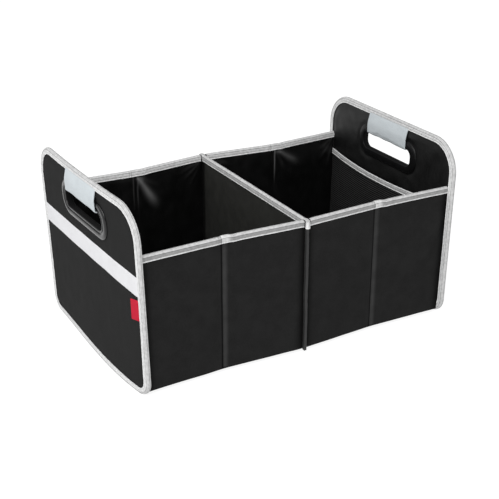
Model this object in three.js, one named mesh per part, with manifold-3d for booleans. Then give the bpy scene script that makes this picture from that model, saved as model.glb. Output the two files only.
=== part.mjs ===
// A folding car trunk organizer: two stiff end panels with moulded carry handles, front and back walls
// that crease inwards to fold, a divider, a floor cloth and two loose base boards.
// Every wall is a sandwich of outer cloth, board and lining, bound along its edge with folded tape.
// Millimetres. X runs along the box, Y from the front to the back, Z up from the ground.
import * as THREE from "three";
import { mergeVertices } from "three/addons/utils/BufferGeometryUtils.js";
import Module from "manifold-3d";

const wasm = await Module();
wasm.setup();

// End panels.
const boxLength = 493; // between the middle planes of the two end boards, at the front corners
const panelWidth = 325;
const panelHeight = 274;
const panelTopRadius = 50;
const panelBottomRadius = 24;
const endBindingWidth = 10;

// The way the soft box stands: an end swings out at the back, leans out at the top, and bows in plan.
// The base boards push it out at the ground, more towards the front, and the hands at the top. Both
// bows die away towards the closing band, which holds the end straight where it crosses.
const leftSwingDegrees = 1.7;
const leftLeanDegrees = 1.5;
const leftBowLow = 8;
const leftBowHigh = 4.8;
const leftBowSkewRatio = 0.84;
const rightSwingDegrees = 0;
const rightLeanDegrees = 1.1;
const rightBowLow = 0;
const rightBowHigh = 0;
const rightBowSkewRatio = 0;
const bowFadePower = 3;

// Front and back walls.
const wallSetback = 12.5; // from an end panel's side edge to the middle plane of the wall's board
const floorRise = 6; // ground to the underside of the floor cloth
const wallTop = 207; // ground to the top of the wall binding
const creaseAt = 124; // middle plane of the divider to the fold in each half wall
const creaseStrip = 11; // boardless strip that folds
const frontCreaseIn = 3.5;
const frontCentreOut = 2.5;
const backCreaseIn = 8.5;
const backCentreOut = 4;
const wallBindingWidth = 13;
const seamStrip = 12; // boardless strip at the centre seam
const seamFinDepth = 4; // how far the two cloth edges stand out at the centre seam
const seamTapeDrop = 1.5; // the seam tape's end below the floor cloth
const nubHeight = 12; // of the divider binding's ends, which turn down over the seams

// Material thicknesses.
const endBoard = 2.4;
const wallBoard = 2.4;
const dividerBoard = 2;
const baseBoard = 2.6;
const outerCloth = 0.8;
const lining = 0.6;
const dividerCloth = 0.7;
const floorCloth = 0.8;
const tape = 0.8;
const seamTape = 0.7;
const clearance = 0.3; // between pieces that lie against each other

// Handle.
const slotLength = 121;
const slotHeight = 27;
const slotCornerRadius = 11;
const slotDrop = 53; // panel top to the slot's middle line
const ringFlange = 13;
const ringCollar = 1.6; // wall of the sleeve that lines the slot
const ringLipWidth = 2.9;
const ringLipHeight = 2.4;
const ringGrooveWidth = 1.6;
const ringGrooveHeight = 1.3;
const ringRollHeight = 3.3;
const ringRimHeight = 0.5; // of the roll's outer edge
const ringEase = 0.6; // bevel on the lip
const innerRingHeight = 3;
const innerRingRound = 8; // width over which the inner ring comes down to the lining
const innerRingEase = 1.3;
const wrapThickness = 2;
const wrapEdge = 1.4; // thickness where the wrap ends under the binding
const wrapRound = 3.2; // round of its lower corners
const wrapTaper = 13; // height over which the wrap comes down from the ring to the cloth

// Trim on the left end.
const bandWidth = 28;
const bandDrop = 109.5; // panel top to the band's middle line
const bandThickness = 0.9;
const tagWidth = 15;
const tagLength = 30;
const tagGap = 5; // under the band
const tagThickness = 0.9;

// Mesh pocket on the right end.
const pocketTop = 178;
const pocketBottom = 44;
const pocketSag = 3;
const pocketStandoff = 13;
const pocketMesh = 0.6;
const pocketBindingWidth = 9;

// Loose base boards.
const baseBoardPlay = 1.2;

const bowSteps = 16;
const bowRows = 9;
const arcSteps = 5;
const slotArcSteps = 4;
const slotRunSteps = 6;
const ringArcSteps = 5;
const wrapSteps = 8;
const wrapArcSteps = 3;
const pocketSteps = 16;
const pocketRows = 4;
const beyond = 40; // how far cutting solids run past what they cut

const colours = {
  outerCloth: { color: 0x2a2a2a, roughness: 0.85, metalness: 0 },
  lining: { color: 0x151515, roughness: 0.45, metalness: 0 },
  board: { color: 0x6b6459, roughness: 0.9, metalness: 0 },
  tape: { color: 0xc4c6c7, roughness: 0.8, metalness: 0 },
  seamTape: { color: 0x242424, roughness: 0.85, metalness: 0 },
  moulding: { color: 0x0e0e0f, roughness: 0.25, metalness: 0 },
  wrap: { color: 0xc9d2d6, roughness: 0.6, metalness: 0 },
  band: { color: 0xeeeef0, roughness: 0.7, metalness: 0 },
  tag: { color: 0xc8293f, roughness: 0.7, metalness: 0 },
  mesh: { color: 0x121212, roughness: 0.7, metalness: 0 },
};
const materials = {};
for (const [name, look] of Object.entries(colours)) {
  materials[name] = new THREE.MeshStandardMaterial(look);
}

// Places that follow from the sizes above.
const boxDepth = panelWidth - 2 * wallSetback;
const slotCentreHeight = panelHeight - slotDrop;

// Layer faces of an end panel, measured outwards from the middle plane of its board.
const clothInside = endBoard / 2 + clearance;
const clothOutside = clothInside + outerCloth;
const liningOutside = -(endBoard / 2 + clearance);
const liningInside = liningOutside - lining;
const trimSeat = clothOutside + clearance;
const innerSeat = liningInside - clearance;
const bindingOutside = trimSeat + tape;
const bindingInside = innerSeat - tape;
const bindingInset = tape + clearance; // the bound sandwich stops this far inside the binding's edge
const wallStop = bindingInside - clearance; // front and back walls end here

const ends = {
  left: {
    side: -1,
    swing: leftSwingDegrees,
    lean: leftLeanDegrees,
    bowLow: leftBowLow,
    bowHigh: leftBowHigh,
    bowSkew: leftBowSkewRatio,
  },
  right: {
    side: 1,
    swing: rightSwingDegrees,
    lean: rightLeanDegrees,
    bowLow: rightBowLow,
    bowHigh: rightBowHigh,
    bowSkew: rightBowSkewRatio,
  },
};

// Geometry to closed solid and back.
function solidOf(geometry) {
  const bare = new THREE.BufferGeometry();
  bare.setAttribute("position", geometry.getAttribute("position"));
  if (geometry.index) {
    bare.setIndex(geometry.index);
  }
  const merged = mergeVertices(bare, 1e-3);
  const mesh = new wasm.Mesh({
    numProp: 3,
    vertProperties: new Float32Array(merged.getAttribute("position").array),
    triVerts: new Uint32Array(merged.index.array),
  });
  return new wasm.Manifold(mesh);
}

function geometryOf(solid) {
  const mesh = solid.getMesh();
  const geometry = new THREE.BufferGeometry();
  geometry.setAttribute("position", new THREE.BufferAttribute(mesh.vertProperties, 3));
  geometry.setIndex(new THREE.BufferAttribute(mesh.triVerts, 1));
  return geometry;
}

// Moves every vertex by a rule. A rule that mirrors also turns the triangles round.
function reshaped(geometry, rule, mirrored) {
  const shaped = geometry.index ? geometry.clone() : mergeVertices(geometry);
  const position = shaped.getAttribute("position");
  const point = new THREE.Vector3();
  for (let i = 0; i < position.count; i += 1) {
    point.fromBufferAttribute(position, i);
    rule(point);
    position.setXYZ(i, point.x, point.y, point.z);
  }
  if (mirrored) {
    const index = shaped.index.array;
    for (let i = 0; i < index.length; i += 3) {
      [index[i + 1], index[i + 2]] = [index[i + 2], index[i + 1]];
    }
  }
  return shaped;
}

// An end panel stands where its swing, lean and bow put it. Pieces of it are modelled with their
// outward depth along X, and this carries them there.
function endOffset(end, y, z) {
  const swing = Math.tan(THREE.MathUtils.degToRad(end.swing)) * (y + boxDepth / 2);
  const lean = Math.tan(THREE.MathUtils.degToRad(end.lean)) * z;
  const across = (2 * y) / panelWidth;
  const curve = 1 - across ** 2;
  const low = end.bowLow * curve * (1 - end.bowSkew * across);
  const high = end.bowHigh * curve;
  const up = THREE.MathUtils.clamp(z / panelHeight, 0, 1);
  const bow = low * (1 - up) ** bowFadePower + high * up ** bowFadePower;
  return boxLength / 2 + swing + lean + bow;
}

function onEnd(end, geometry) {
  const rule = (point) => {
    point.x = end.side * (point.x + endOffset(end, point.y, point.z));
  };
  return reshaped(geometry, rule, end.side < 0);
}

// A slab that lies between two depths of an end panel and follows its bow. Both faces are copies of
// one grid, so that every layer has the same facets and the layers stay the same distance apart.
function endSlab(end, from, to) {
  const width = panelWidth + 2 * beyond;
  const height = panelHeight + 2 * beyond;
  const face = new THREE.PlaneGeometry(width, height, bowSteps, bowRows);
  const across = face.getAttribute("position");
  const count = across.count;
  const vertices = [];
  for (const depth of [to, from]) {
    for (let i = 0; i < count; i += 1) {
      vertices.push(depth, across.getX(i), across.getY(i) + panelHeight / 2);
    }
  }
  const front = Array.from(face.index.array);
  const rear = front.toReversed().map((i) => i + count);
  const rim = [];
  for (let row = 0; row < bowRows; row += 1) {
    rim.push(row * (bowSteps + 1));
  }
  for (let column = 0; column < bowSteps; column += 1) {
    rim.push(bowRows * (bowSteps + 1) + column);
  }
  const opposite = rim.map((i) => count - 1 - i);
  const loop = [...rim, ...opposite];
  const side = loop.flatMap((a, i) => {
    const b = loop[(i + 1) % loop.length];
    return [b, a, a + count, b, a + count, b + count];
  });
  const slab = new THREE.BufferGeometry();
  slab.setAttribute("position", new THREE.Float32BufferAttribute(vertices, 3));
  slab.setIndex([...front, ...rear, ...side]);
  return solidOf(onEnd(end, slab));
}

// A prism with its outline in Y and Z, long enough along X to cut right through one end.
function endPrism(end, outline) {
  const reach = 2 * beyond;
  const prism = new THREE.ExtrudeGeometry(outline, {
    depth: reach,
    bevelEnabled: false,
    curveSegments: arcSteps,
  });
  const turn = new THREE.Matrix4().makeBasis(
    new THREE.Vector3(0, 1, 0),
    new THREE.Vector3(0, 0, 1),
    new THREE.Vector3(1, 0, 0),
  );
  prism.applyMatrix4(turn);
  prism.translate(end.side * endOffset(end, 0, panelHeight / 2) - reach / 2, 0, 0);
  return solidOf(prism);
}

// The end panel's outline, drawn in by an inset.
function panelOutline(inset) {
  const half = panelWidth / 2 - inset;
  const low = inset;
  const high = panelHeight - inset;
  const top = panelTopRadius - inset;
  const bottom = panelBottomRadius - inset;
  const shape = new THREE.Shape();
  shape.moveTo(bottom - half, low);
  shape.lineTo(half - bottom, low);
  shape.absarc(half - bottom, low + bottom, bottom, -Math.PI / 2, 0);
  shape.lineTo(half, high - top);
  shape.absarc(half - top, high - top, top, 0, Math.PI / 2);
  shape.lineTo(top - half, high);
  shape.absarc(top - half, high - top, top, Math.PI / 2, Math.PI);
  shape.lineTo(-half, low + bottom);
  shape.absarc(bottom - half, low + bottom, bottom, Math.PI, 1.5 * Math.PI);
  return shape;
}

// Points round the handle slot, drawn out by an offset. The straight runs have points of their own,
// so that a ring made from them bends with the panel.
function slotLoop(offset) {
  const acrossHalf = slotLength / 2 - slotCornerRadius;
  const upHalf = slotHeight / 2 - slotCornerRadius;
  const reach = slotCornerRadius + offset;
  const loop = [];
  const quarters = [
    [1, -1],
    [1, 1],
    [-1, 1],
    [-1, -1],
  ];
  quarters.forEach(([across, up], quarter) => {
    for (let i = 0; i <= slotArcSteps; i += 1) {
      const angle = (quarter - 1 + i / slotArcSteps) * (Math.PI / 2);
      const y = across * acrossHalf + reach * Math.cos(angle);
      const z = slotCentreHeight + up * upHalf + reach * Math.sin(angle);
      loop.push(new THREE.Vector2(y, z));
    }
    if (quarter % 2 === 1) {
      for (let i = 1; i < slotRunSteps; i += 1) {
        const along = acrossHalf * (1 - (2 * i) / slotRunSteps);
        loop.push(new THREE.Vector2(across * along, slotCentreHeight + up * (upHalf + reach)));
      }
    }
  });
  return loop;
}

// A closed profile of [offset from the slot, outward depth] points carried round the slot.
function slotRing(profile) {
  const loops = profile.map(([offset]) => slotLoop(offset));
  const count = loops[0].length;
  const vertices = [];
  profile.forEach(([, depth], row) => {
    for (const point of loops[row]) {
      vertices.push(depth, point.x, point.y);
    }
  });
  const faces = [];
  for (let row = 0; row < profile.length; row += 1) {
    const next = (row + 1) % profile.length;
    for (let i = 0; i < count; i += 1) {
      const j = (i + 1) % count;
      const a = row * count + i;
      const b = row * count + j;
      const c = next * count + j;
      const d = next * count + i;
      faces.push(a, c, b, a, d, c);
    }
  }
  const ring = new THREE.BufferGeometry();
  ring.setAttribute("position", new THREE.Float32BufferAttribute(vertices, 3));
  ring.setIndex(faces);
  return ring;
}

// The outer half of the handle: a sleeve through the slot, a narrow lip, a groove and a broad roll
// whose section is half an ellipse.
function outerRing(end) {
  const lip = trimSeat + ringLipHeight;
  const groove = trimSeat + ringGrooveHeight;
  const rim = trimSeat + ringRimHeight;
  const rollStart = ringLipWidth + ringGrooveWidth;
  const profile = [
    [0, liningInside],
    [0, lip - ringEase],
    [ringEase, lip],
    [ringLipWidth - ringEase, lip],
    [ringLipWidth, groove],
  ];
  for (let i = 0; i <= ringArcSteps; i += 1) {
    const angle = (Math.PI * i) / ringArcSteps;
    const across = (1 - Math.cos(angle)) / 2;
    const base = THREE.MathUtils.lerp(groove, rim, across);
    const rise = (ringRollHeight - ringGrooveHeight) * Math.sin(angle);
    profile.push([THREE.MathUtils.lerp(rollStart, ringFlange, across), base + rise]);
  }
  profile.push([ringFlange, trimSeat], [ringCollar, trimSeat], [ringCollar, liningInside]);
  return onEnd(end, slotRing(profile));
}

// The inner half: a low pad that comes down to the lining in a quarter ellipse.
function innerRing(end) {
  const low = innerSeat - innerRingHeight;
  const profile = [[0, innerSeat]];
  for (let i = 0; i <= arcSteps; i += 1) {
    const angle = (Math.PI * i) / (2 * arcSteps);
    const offset = ringFlange - innerRingRound * (1 - Math.cos(angle));
    profile.push([offset, innerSeat - innerRingHeight * Math.sin(angle)]);
  }
  profile.push([innerRingEase, low], [0, low + innerRingEase]);
  return onEnd(end, slotRing(profile));
}

// One flat layer of an end panel with the handle hole in it.
function endLayer(end, from, to) {
  const outline = panelOutline(bindingInset);
  outline.holes.push(new THREE.Path(slotLoop(ringCollar + clearance)));
  return endSlab(end, from, to).intersect(endPrism(end, outline));
}

// Tape folded over the edge of the end panel, all the way round.
function endBinding(end) {
  const rim = panelOutline(0);
  rim.holes.push(panelOutline(endBindingWidth));
  const tapeSolid = endSlab(end, bindingInside, bindingOutside).intersect(endPrism(end, rim));
  const sandwich = endPrism(end, panelOutline(tape));
  return tapeSolid.subtract(endSlab(end, innerSeat, trimSeat).intersect(sandwich));
}

// A padded cloth that wraps the grip from the outer binding, under the slot's top edge, to the inner.
function gripWrap(end) {
  const slotTop = slotCentreHeight + slotHeight / 2;
  const wrapLength = slotLength - 2 * slotCornerRadius - 2 * clearance;
  const leafTop = panelHeight - endBindingWidth - clearance;
  const under = slotTop - clearance;
  const bottom = under - wrapThickness;
  const out = trimSeat + ringRollHeight + clearance;
  const inn = innerSeat - innerRingHeight - clearance;
  const bend = leafTop - wrapTaper;
  const shape = new THREE.Shape();
  shape.moveTo(trimSeat, leafTop);
  shape.lineTo(out, bend);
  shape.lineTo(out, under);
  shape.lineTo(inn, under);
  shape.lineTo(inn, bend);
  shape.lineTo(innerSeat, leafTop);
  shape.lineTo(innerSeat - wrapEdge, leafTop);
  shape.lineTo(inn - wrapThickness, bend);
  shape.lineTo(inn - wrapThickness, bottom + wrapRound);
  shape.quadraticCurveTo(inn - wrapThickness, bottom, inn - wrapThickness + wrapRound, bottom);
  shape.lineTo(out + wrapThickness - wrapRound, bottom);
  shape.quadraticCurveTo(out + wrapThickness, bottom, out + wrapThickness, bottom + wrapRound);
  shape.lineTo(out + wrapThickness, bend);
  shape.lineTo(trimSeat + wrapEdge, leafTop);
  const wrap = new THREE.ExtrudeGeometry(shape, {
    depth: wrapLength,
    steps: wrapSteps,
    bevelEnabled: false,
    curveSegments: wrapArcSteps,
  });
  wrap.rotateX(Math.PI / 2);
  wrap.translate(0, wrapLength / 2, 0);
  wrap.deleteAttribute("normal");
  wrap.deleteAttribute("uv");
  return onEnd(end, wrap);
}

// A flat strip that lies on the outer cloth of an end panel.
function strip(end, thickness, yFrom, yTo, zFrom, zTo) {
  const steps = Math.max(1, Math.round((yTo - yFrom) / (panelWidth / bowSteps)));
  const box = new THREE.BoxGeometry(thickness, yTo - yFrom, zTo - zFrom, 1, 2 * steps, 1);
  box.translate(trimSeat + thickness / 2, (yFrom + yTo) / 2, (zFrom + zTo) / 2);
  return onEnd(end, box);
}

// The mesh pocket's surface stands off the lining most at the middle of its top edge.
function pocketSheet(end, near, far, zFrom, zTo) {
  const half = boxDepth / 2 - wallBoard / 2 - lining - tape - 3 * clearance;
  const box = new THREE.BoxGeometry(far - near, 2 * half, zTo - zFrom, 1, pocketSteps, pocketRows);
  box.translate(-(near + far) / 2, 0, (zFrom + zTo) / 2);
  const rule = (point) => {
    const across = 1 - (point.y / half) ** 2;
    const up = (point.z - pocketBottom) / (pocketTop - pocketBottom);
    point.x += innerSeat - pocketMesh - tape - clearance - pocketStandoff * across * up;
    point.z -= pocketSag * across * up;
  };
  return onEnd(end, reshaped(box, rule, false));
}

function meshPocket(end) {
  const half = pocketMesh / 2;
  return pocketSheet(end, -half, half, pocketBottom, pocketTop - tape - clearance);
}

function meshPocketBinding(end) {
  const half = pocketMesh / 2 + clearance;
  const low = pocketTop - pocketBindingWidth;
  const folded = solidOf(pocketSheet(end, -half - tape, half + tape, low, pocketTop));
  return folded.subtract(solidOf(pocketSheet(end, -half, half, low - tape, pocketTop - tape)));
}

const walls = {
  front: { outward: -1, creaseIn: frontCreaseIn, centreOut: frontCentreOut },
  back: { outward: 1, creaseIn: backCreaseIn, centreOut: backCentreOut },
};

// A wall's middle plane in plan: [distance from the divider, outward shift] at each of its bends.
function wallBends(wall) {
  return [
    [seamStrip / 2, wall.centreOut],
    [creaseAt - creaseStrip / 2, -wall.creaseIn],
    [creaseAt + creaseStrip / 2, -wall.creaseIn],
    [boxLength / 2, 0],
  ];
}

function wallShift(wall, distance) {
  const bends = wallBends(wall);
  if (distance <= bends[0][0]) {
    return wall.centreOut;
  }
  for (let i = 1; i < bends.length; i += 1) {
    const [x0, shift0] = bends[i - 1];
    const [x1, shift1] = bends[i];
    if (distance <= x1) {
      return THREE.MathUtils.mapLinear(distance, x0, x1, shift0, shift1);
    }
  }
  return 0;
}

// Points along a half wall at one depth outwards from its middle plane.
function wallPath(wall, side, depth, from, to) {
  const bends = wallBends(wall).map(([distance]) => distance);
  const distances = [from, ...bends.filter((x) => x > from && x < to), to];
  return distances.map((x) => {
    const y = wall.outward * (boxDepth / 2 + wallShift(wall, x) + depth);
    return new THREE.Vector2(side * x, y);
  });
}

function standing(outline, zFrom, zTo) {
  const geometry = new THREE.ExtrudeGeometry(new THREE.Shape(outline), {
    depth: zTo - zFrom,
    bevelEnabled: false,
  });
  geometry.translate(0, 0, zFrom);
  return solidOf(geometry);
}

function wallSlab(wall, side, depthFrom, depthTo, from, to, zFrom, zTo) {
  const near = wallPath(wall, side, depthFrom, from, to);
  const far = wallPath(wall, side, depthTo, from, to);
  return standing([...near, ...far.reverse()], zFrom, zTo);
}

const pastEnd = boxLength / 2 + beyond;
const wallClothInside = wallBoard / 2 + clearance;
const wallClothOutside = wallClothInside + outerCloth;
const wallLiningOutside = -(wallBoard / 2 + clearance);
const wallLiningInside = wallLiningOutside - lining;
const wallLow = floorRise + floorCloth + clearance;
const wallHigh = wallTop - tape - clearance;
const dividerFace = dividerBoard / 2 + clearance + dividerCloth;
const dividerBindingFace = dividerFace + clearance + tape;
const finFace = clearance / 2 + outerCloth;
const finTip = wallClothOutside + seamFinDepth;
const finTapeFace = finFace + clearance + seamTape;
const finTapeTip = finTip + clearance + seamTape;

const endBlocks = Object.values(ends).map((end) => endSlab(end, wallStop, beyond));

function betweenEnds(solid) {
  return endBlocks.reduce((rest, block) => rest.subtract(block), solid);
}

// Outer cloth of a half wall: its inner edge turns outwards into the centre seam.
function wallCloth(wall, side) {
  const inside = wallPath(wall, side, wallClothInside, clearance / 2, pastEnd);
  const outside = wallPath(wall, side, wallClothOutside, finFace, pastEnd);
  const finFrom = wallPath(wall, side, finTip, clearance / 2, finFace);
  const outline = [...inside, ...outside.reverse(), ...finFrom.reverse()];
  return betweenEnds(standing(outline, wallLow, wallHigh));
}

function wallLining(wall, side) {
  const from = dividerFace + clearance;
  const slab = wallSlab(wall, side, wallLiningOutside, wallLiningInside, from, pastEnd, wallLow, wallHigh);
  return betweenEnds(slab);
}

function wallBoardBetween(wall, side, from, to) {
  const half = wallBoard / 2;
  return betweenEnds(wallSlab(wall, side, -half, half, from, to, wallLow, wallHigh));
}

function wallBinding(wall, side) {
  const from = dividerBindingFace + clearance;
  const outside = wallClothOutside + clearance;
  const inside = wallLiningInside - clearance;
  const low = wallTop - wallBindingWidth;
  const folded = wallSlab(wall, side, inside - tape, outside + tape, from, pastEnd, low, wallTop);
  const cavity = wallSlab(wall, side, inside, outside, from - tape, pastEnd, low - tape, wallTop - tape);
  return betweenEnds(folded.subtract(cavity));
}

// Depth-wise Y of a wall at the divider, at one depth outwards from the wall's middle plane.
function seamY(wall, depth) {
  return wall.outward * (boxDepth / 2 + wall.centreOut + depth);
}

function block(halfX, yFrom, yTo, zFrom, zTo) {
  const box = new THREE.BoxGeometry(2 * halfX, Math.abs(yTo - yFrom), zTo - zFrom);
  box.translate(0, (yFrom + yTo) / 2, (zFrom + zTo) / 2);
  return solidOf(box);
}

// Tape folded over the two cloth edges that stand out at the centre seam.
function seamCover(wall) {
  const low = floorRise - seamTapeDrop;
  const seat = wallClothOutside + clearance;
  const folded = block(finTapeFace, seamY(wall, seat), seamY(wall, finTapeTip), low, wallHigh);
  const leaves = seamY(wall, finTip + clearance);
  const cavity = block(finFace + clearance, seamY(wall, 0), leaves, low - seamTape, wallTop);
  return folded.subtract(cavity);
}

function dividerSheet(side) {
  const x = side * (dividerBoard / 2 + clearance + dividerCloth / 2);
  const front = seamY(walls.front, wallClothInside - clearance);
  const back = seamY(walls.back, wallClothInside - clearance);
  const sheet = new THREE.BoxGeometry(dividerCloth, back - front, wallHigh - wallLow);
  sheet.translate(x, (front + back) / 2, (wallLow + wallHigh) / 2);
  return sheet;
}

function dividerCore() {
  const front = seamY(walls.front, wallClothInside - clearance);
  const back = seamY(walls.back, wallClothInside - clearance);
  const core = new THREE.BoxGeometry(dividerBoard, back - front, wallHigh - wallLow);
  core.translate(0, (front + back) / 2, (wallLow + wallHigh) / 2);
  return core;
}

// Tape over the divider's top edge. It runs on over both walls and turns down over the seam fins.
function dividerBinding() {
  const low = wallTop - wallBindingWidth;
  const legFront = seamY(walls.front, wallLiningInside - clearance);
  const legBack = seamY(walls.back, wallLiningInside - clearance);
  const tip = finTapeTip + clearance;
  const web = wallTop - tape;
  let folded = block(dividerBindingFace, legFront, legBack, low, wallTop);
  folded = folded.subtract(
    block(dividerFace + clearance, legFront - tape, legBack + tape, low - tape, web),
  );
  const overFront = seamY(walls.front, tip + tape);
  const overBack = seamY(walls.back, tip + tape);
  folded = folded.add(block(dividerBindingFace, overFront, overBack, web, wallTop));
  for (const wall of Object.values(walls)) {
    const seat = seamY(wall, wallClothOutside + clearance);
    const nub = block(dividerBindingFace, seat, seamY(wall, tip + tape), wallTop - nubHeight, wallTop);
    const fin = block(finTapeFace + clearance, seamY(wall, 0), seamY(wall, tip), low - tape, web);
    folded = folded.add(nub.subtract(fin));
  }
  return folded;
}

// The floor cloth reaches to the outside of both walls and hangs under them.
function floorSheet() {
  const outline = [];
  for (const wall of Object.values(walls)) {
    const rightward = wallPath(wall, 1, wallClothOutside, 0, pastEnd);
    const leftward = wallPath(wall, -1, wallClothOutside, 0, pastEnd);
    const across = [...leftward.reverse(), ...rightward.slice(1)];
    outline.push(...(wall.outward < 0 ? across : across.reverse()));
  }
  return betweenEnds(standing(outline, floorRise, floorRise + floorCloth));
}

// A loose board that lies on the floor cloth of one compartment.
function baseBoardIn(side) {
  const xFrom = dividerFace + baseBoardPlay;
  const xTo = boxLength / 2 + wallStop - baseBoardPlay;
  const yFrom = -(boxDepth / 2 - frontCreaseIn + wallLiningInside - baseBoardPlay);
  const yTo = boxDepth / 2 - backCreaseIn + wallLiningInside - baseBoardPlay;
  const board = new THREE.BoxGeometry(xTo - xFrom, yTo - yFrom, baseBoard);
  const z = wallLow + baseBoard / 2;
  board.translate((side * (xFrom + xTo)) / 2, (yFrom + yTo) / 2, z);
  return board;
}

const organizer = new THREE.Group();

function addPiece(name, look, shape) {
  const geometry = shape.isBufferGeometry ? shape : geometryOf(shape);
  const mesh = new THREE.Mesh(geometry, materials[look]);
  mesh.name = name;
  organizer.add(mesh);
}

for (const [name, end] of Object.entries(ends)) {
  addPiece(`${name}_end_cloth`, "outerCloth", endLayer(end, clothInside, clothOutside));
  addPiece(`${name}_end_board`, "board", endLayer(end, -endBoard / 2, endBoard / 2));
  addPiece(`${name}_end_lining`, "lining", endLayer(end, liningInside, liningOutside));
  addPiece(`${name}_end_binding`, "tape", endBinding(end));
  addPiece(`${name}_handle_ring_outer`, "moulding", outerRing(end));
  addPiece(`${name}_handle_ring_inner`, "moulding", innerRing(end));
  addPiece(`${name}_grip_wrap`, "wrap", gripWrap(end));
}

const trimHalf = panelWidth / 2 - endBindingWidth - clearance;
const bandLow = panelHeight - bandDrop - bandWidth / 2;
const band = strip(ends.left, bandThickness, -trimHalf, trimHalf, bandLow, bandLow + bandWidth);
addPiece("closing_band", "band", band);
const tagTop = bandLow - tagGap;
const tag = strip(ends.left, tagThickness, -trimHalf, tagWidth - trimHalf, tagTop - tagLength, tagTop);
addPiece("side_tag", "tag", tag);
addPiece("mesh_pocket", "mesh", meshPocket(ends.right));
addPiece("mesh_pocket_binding", "tape", meshPocketBinding(ends.right));

for (const [name, wall] of Object.entries(walls)) {
  for (const [sideName, side] of [["left", -1], ["right", 1]]) {
    const label = `${name}_${sideName}`;
    addPiece(`${label}_cloth`, "outerCloth", wallCloth(wall, side));
    addPiece(`${label}_lining`, "lining", wallLining(wall, side));
    const foldNear = creaseAt - creaseStrip / 2;
    const foldFar = creaseAt + creaseStrip / 2;
    addPiece(`${label}_inner_board`, "board", wallBoardBetween(wall, side, seamStrip / 2, foldNear));
    addPiece(`${label}_outer_board`, "board", wallBoardBetween(wall, side, foldFar, pastEnd));
    addPiece(`${label}_binding`, "tape", wallBinding(wall, side));
  }
  addPiece(`${name}_seam_tape`, "seamTape", seamCover(wall));
}

addPiece("divider_left_cloth", "lining", dividerSheet(-1));
addPiece("divider_right_cloth", "lining", dividerSheet(1));
addPiece("divider_board", "board", dividerCore());
addPiece("divider_binding", "tape", dividerBinding());
addPiece("floor_cloth", "lining", floorSheet());
addPiece("left_base_board", "lining", baseBoardIn(-1));
addPiece("right_base_board", "lining", baseBoardIn(1));

// The origin is on the ground under the middle of the whole box.
const reach = new THREE.Box3().setFromObject(organizer, true);
const middle = reach.getCenter(new THREE.Vector3());
organizer.position.set(-middle.x, -middle.y, -reach.min.z);

export default organizer;
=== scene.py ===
# %% [markdown]
# # A folding car trunk organizer
#
# This lesson dresses the organizer's fixed construction model in cloth, tape and moulded plastic.
# The construction model gives every piece its place, so the new surfaces are worked out from its
# sizes and laid exactly where its plain solids are. All lengths are in metres, with X along the box,
# Y from the front wall to the back wall and Z up from the ground.

# %% Load the frame
import math

import bpy
import numpy as np
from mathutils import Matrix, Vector


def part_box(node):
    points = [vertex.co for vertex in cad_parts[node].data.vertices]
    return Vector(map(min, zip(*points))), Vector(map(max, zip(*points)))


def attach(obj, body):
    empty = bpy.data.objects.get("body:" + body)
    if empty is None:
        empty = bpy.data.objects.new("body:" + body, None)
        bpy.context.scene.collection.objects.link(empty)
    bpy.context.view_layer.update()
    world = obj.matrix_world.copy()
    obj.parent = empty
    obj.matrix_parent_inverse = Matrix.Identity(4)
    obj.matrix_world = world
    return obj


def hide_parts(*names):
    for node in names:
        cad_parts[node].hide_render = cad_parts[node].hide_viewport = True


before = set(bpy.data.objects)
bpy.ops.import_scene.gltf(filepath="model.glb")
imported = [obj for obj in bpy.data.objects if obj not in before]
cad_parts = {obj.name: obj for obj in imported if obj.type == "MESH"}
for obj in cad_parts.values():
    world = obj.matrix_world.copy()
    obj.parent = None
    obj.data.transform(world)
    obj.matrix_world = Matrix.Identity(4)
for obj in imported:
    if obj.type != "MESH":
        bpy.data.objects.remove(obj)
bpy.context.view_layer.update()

MM = 0.001

# %% [markdown]
# ## The camera
#
# The camera stands at the front left, a little above the box, and looks down on it. Its distance and
# lens were worked out from the corners of the box in the picture. It is placed by an azimuth, an
# elevation and a distance from the point it aims at, because those are what a photographer sets.

# %% Place the camera
CAMERA_AZIMUTH = math.radians(-29.73)
CAMERA_ELEVATION = math.radians(24.44)
CAMERA_DISTANCE = 1.6351
CAMERA_AIM = Vector((3.67 * MM, 0, 101.5 * MM))
CAMERA_LENS_MM = 77.64


def away(azimuth, elevation):
    """The direction that points from the aim back to an azimuth and an elevation."""
    flat = math.cos(elevation)
    return Vector((math.sin(azimuth) * flat, -math.cos(azimuth) * flat, math.sin(elevation)))


camera = bpy.data.objects.new("camera", bpy.data.cameras.new("camera"))
bpy.context.scene.collection.objects.link(camera)
back_to_camera = away(CAMERA_AZIMUTH, CAMERA_ELEVATION)
camera.location = CAMERA_AIM + CAMERA_DISTANCE * back_to_camera
camera.rotation_euler = (-back_to_camera).to_track_quat("-Z", "Y").to_euler()
camera.data.lens = CAMERA_LENS_MM
camera.data.sensor_width = 36
bpy.context.scene.camera = camera
print("camera at", [round(v, 3) for v in camera.location])

# %% [markdown]
# ## Floor and light
#
# The box was photographed on seamless white, with hardly a shadow under it. A wide floor that glows a
# little gives that ground and lights the walls from below. One large soft light stands high beside the
# camera and reaches over the front wall into the box, one from the left lights the left end, and a dim
# sky keeps the shadows open. The lights are few and large, so the glossy parts shine in broad areas.

# %% Set up the studio
def plain_material(name, colour, roughness, glow):
    """A material of one colour that also gives off white light of its own."""
    material = bpy.data.materials.new(name)
    material.use_nodes = True
    shader = material.node_tree.nodes["Principled BSDF"]
    shader.inputs["Base Color"].default_value = (*colour, 1)
    shader.inputs["Roughness"].default_value = roughness
    shader.inputs["Emission Color"].default_value = (1, 1, 1, 1)
    shader.inputs["Emission Strength"].default_value = glow
    return material


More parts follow.
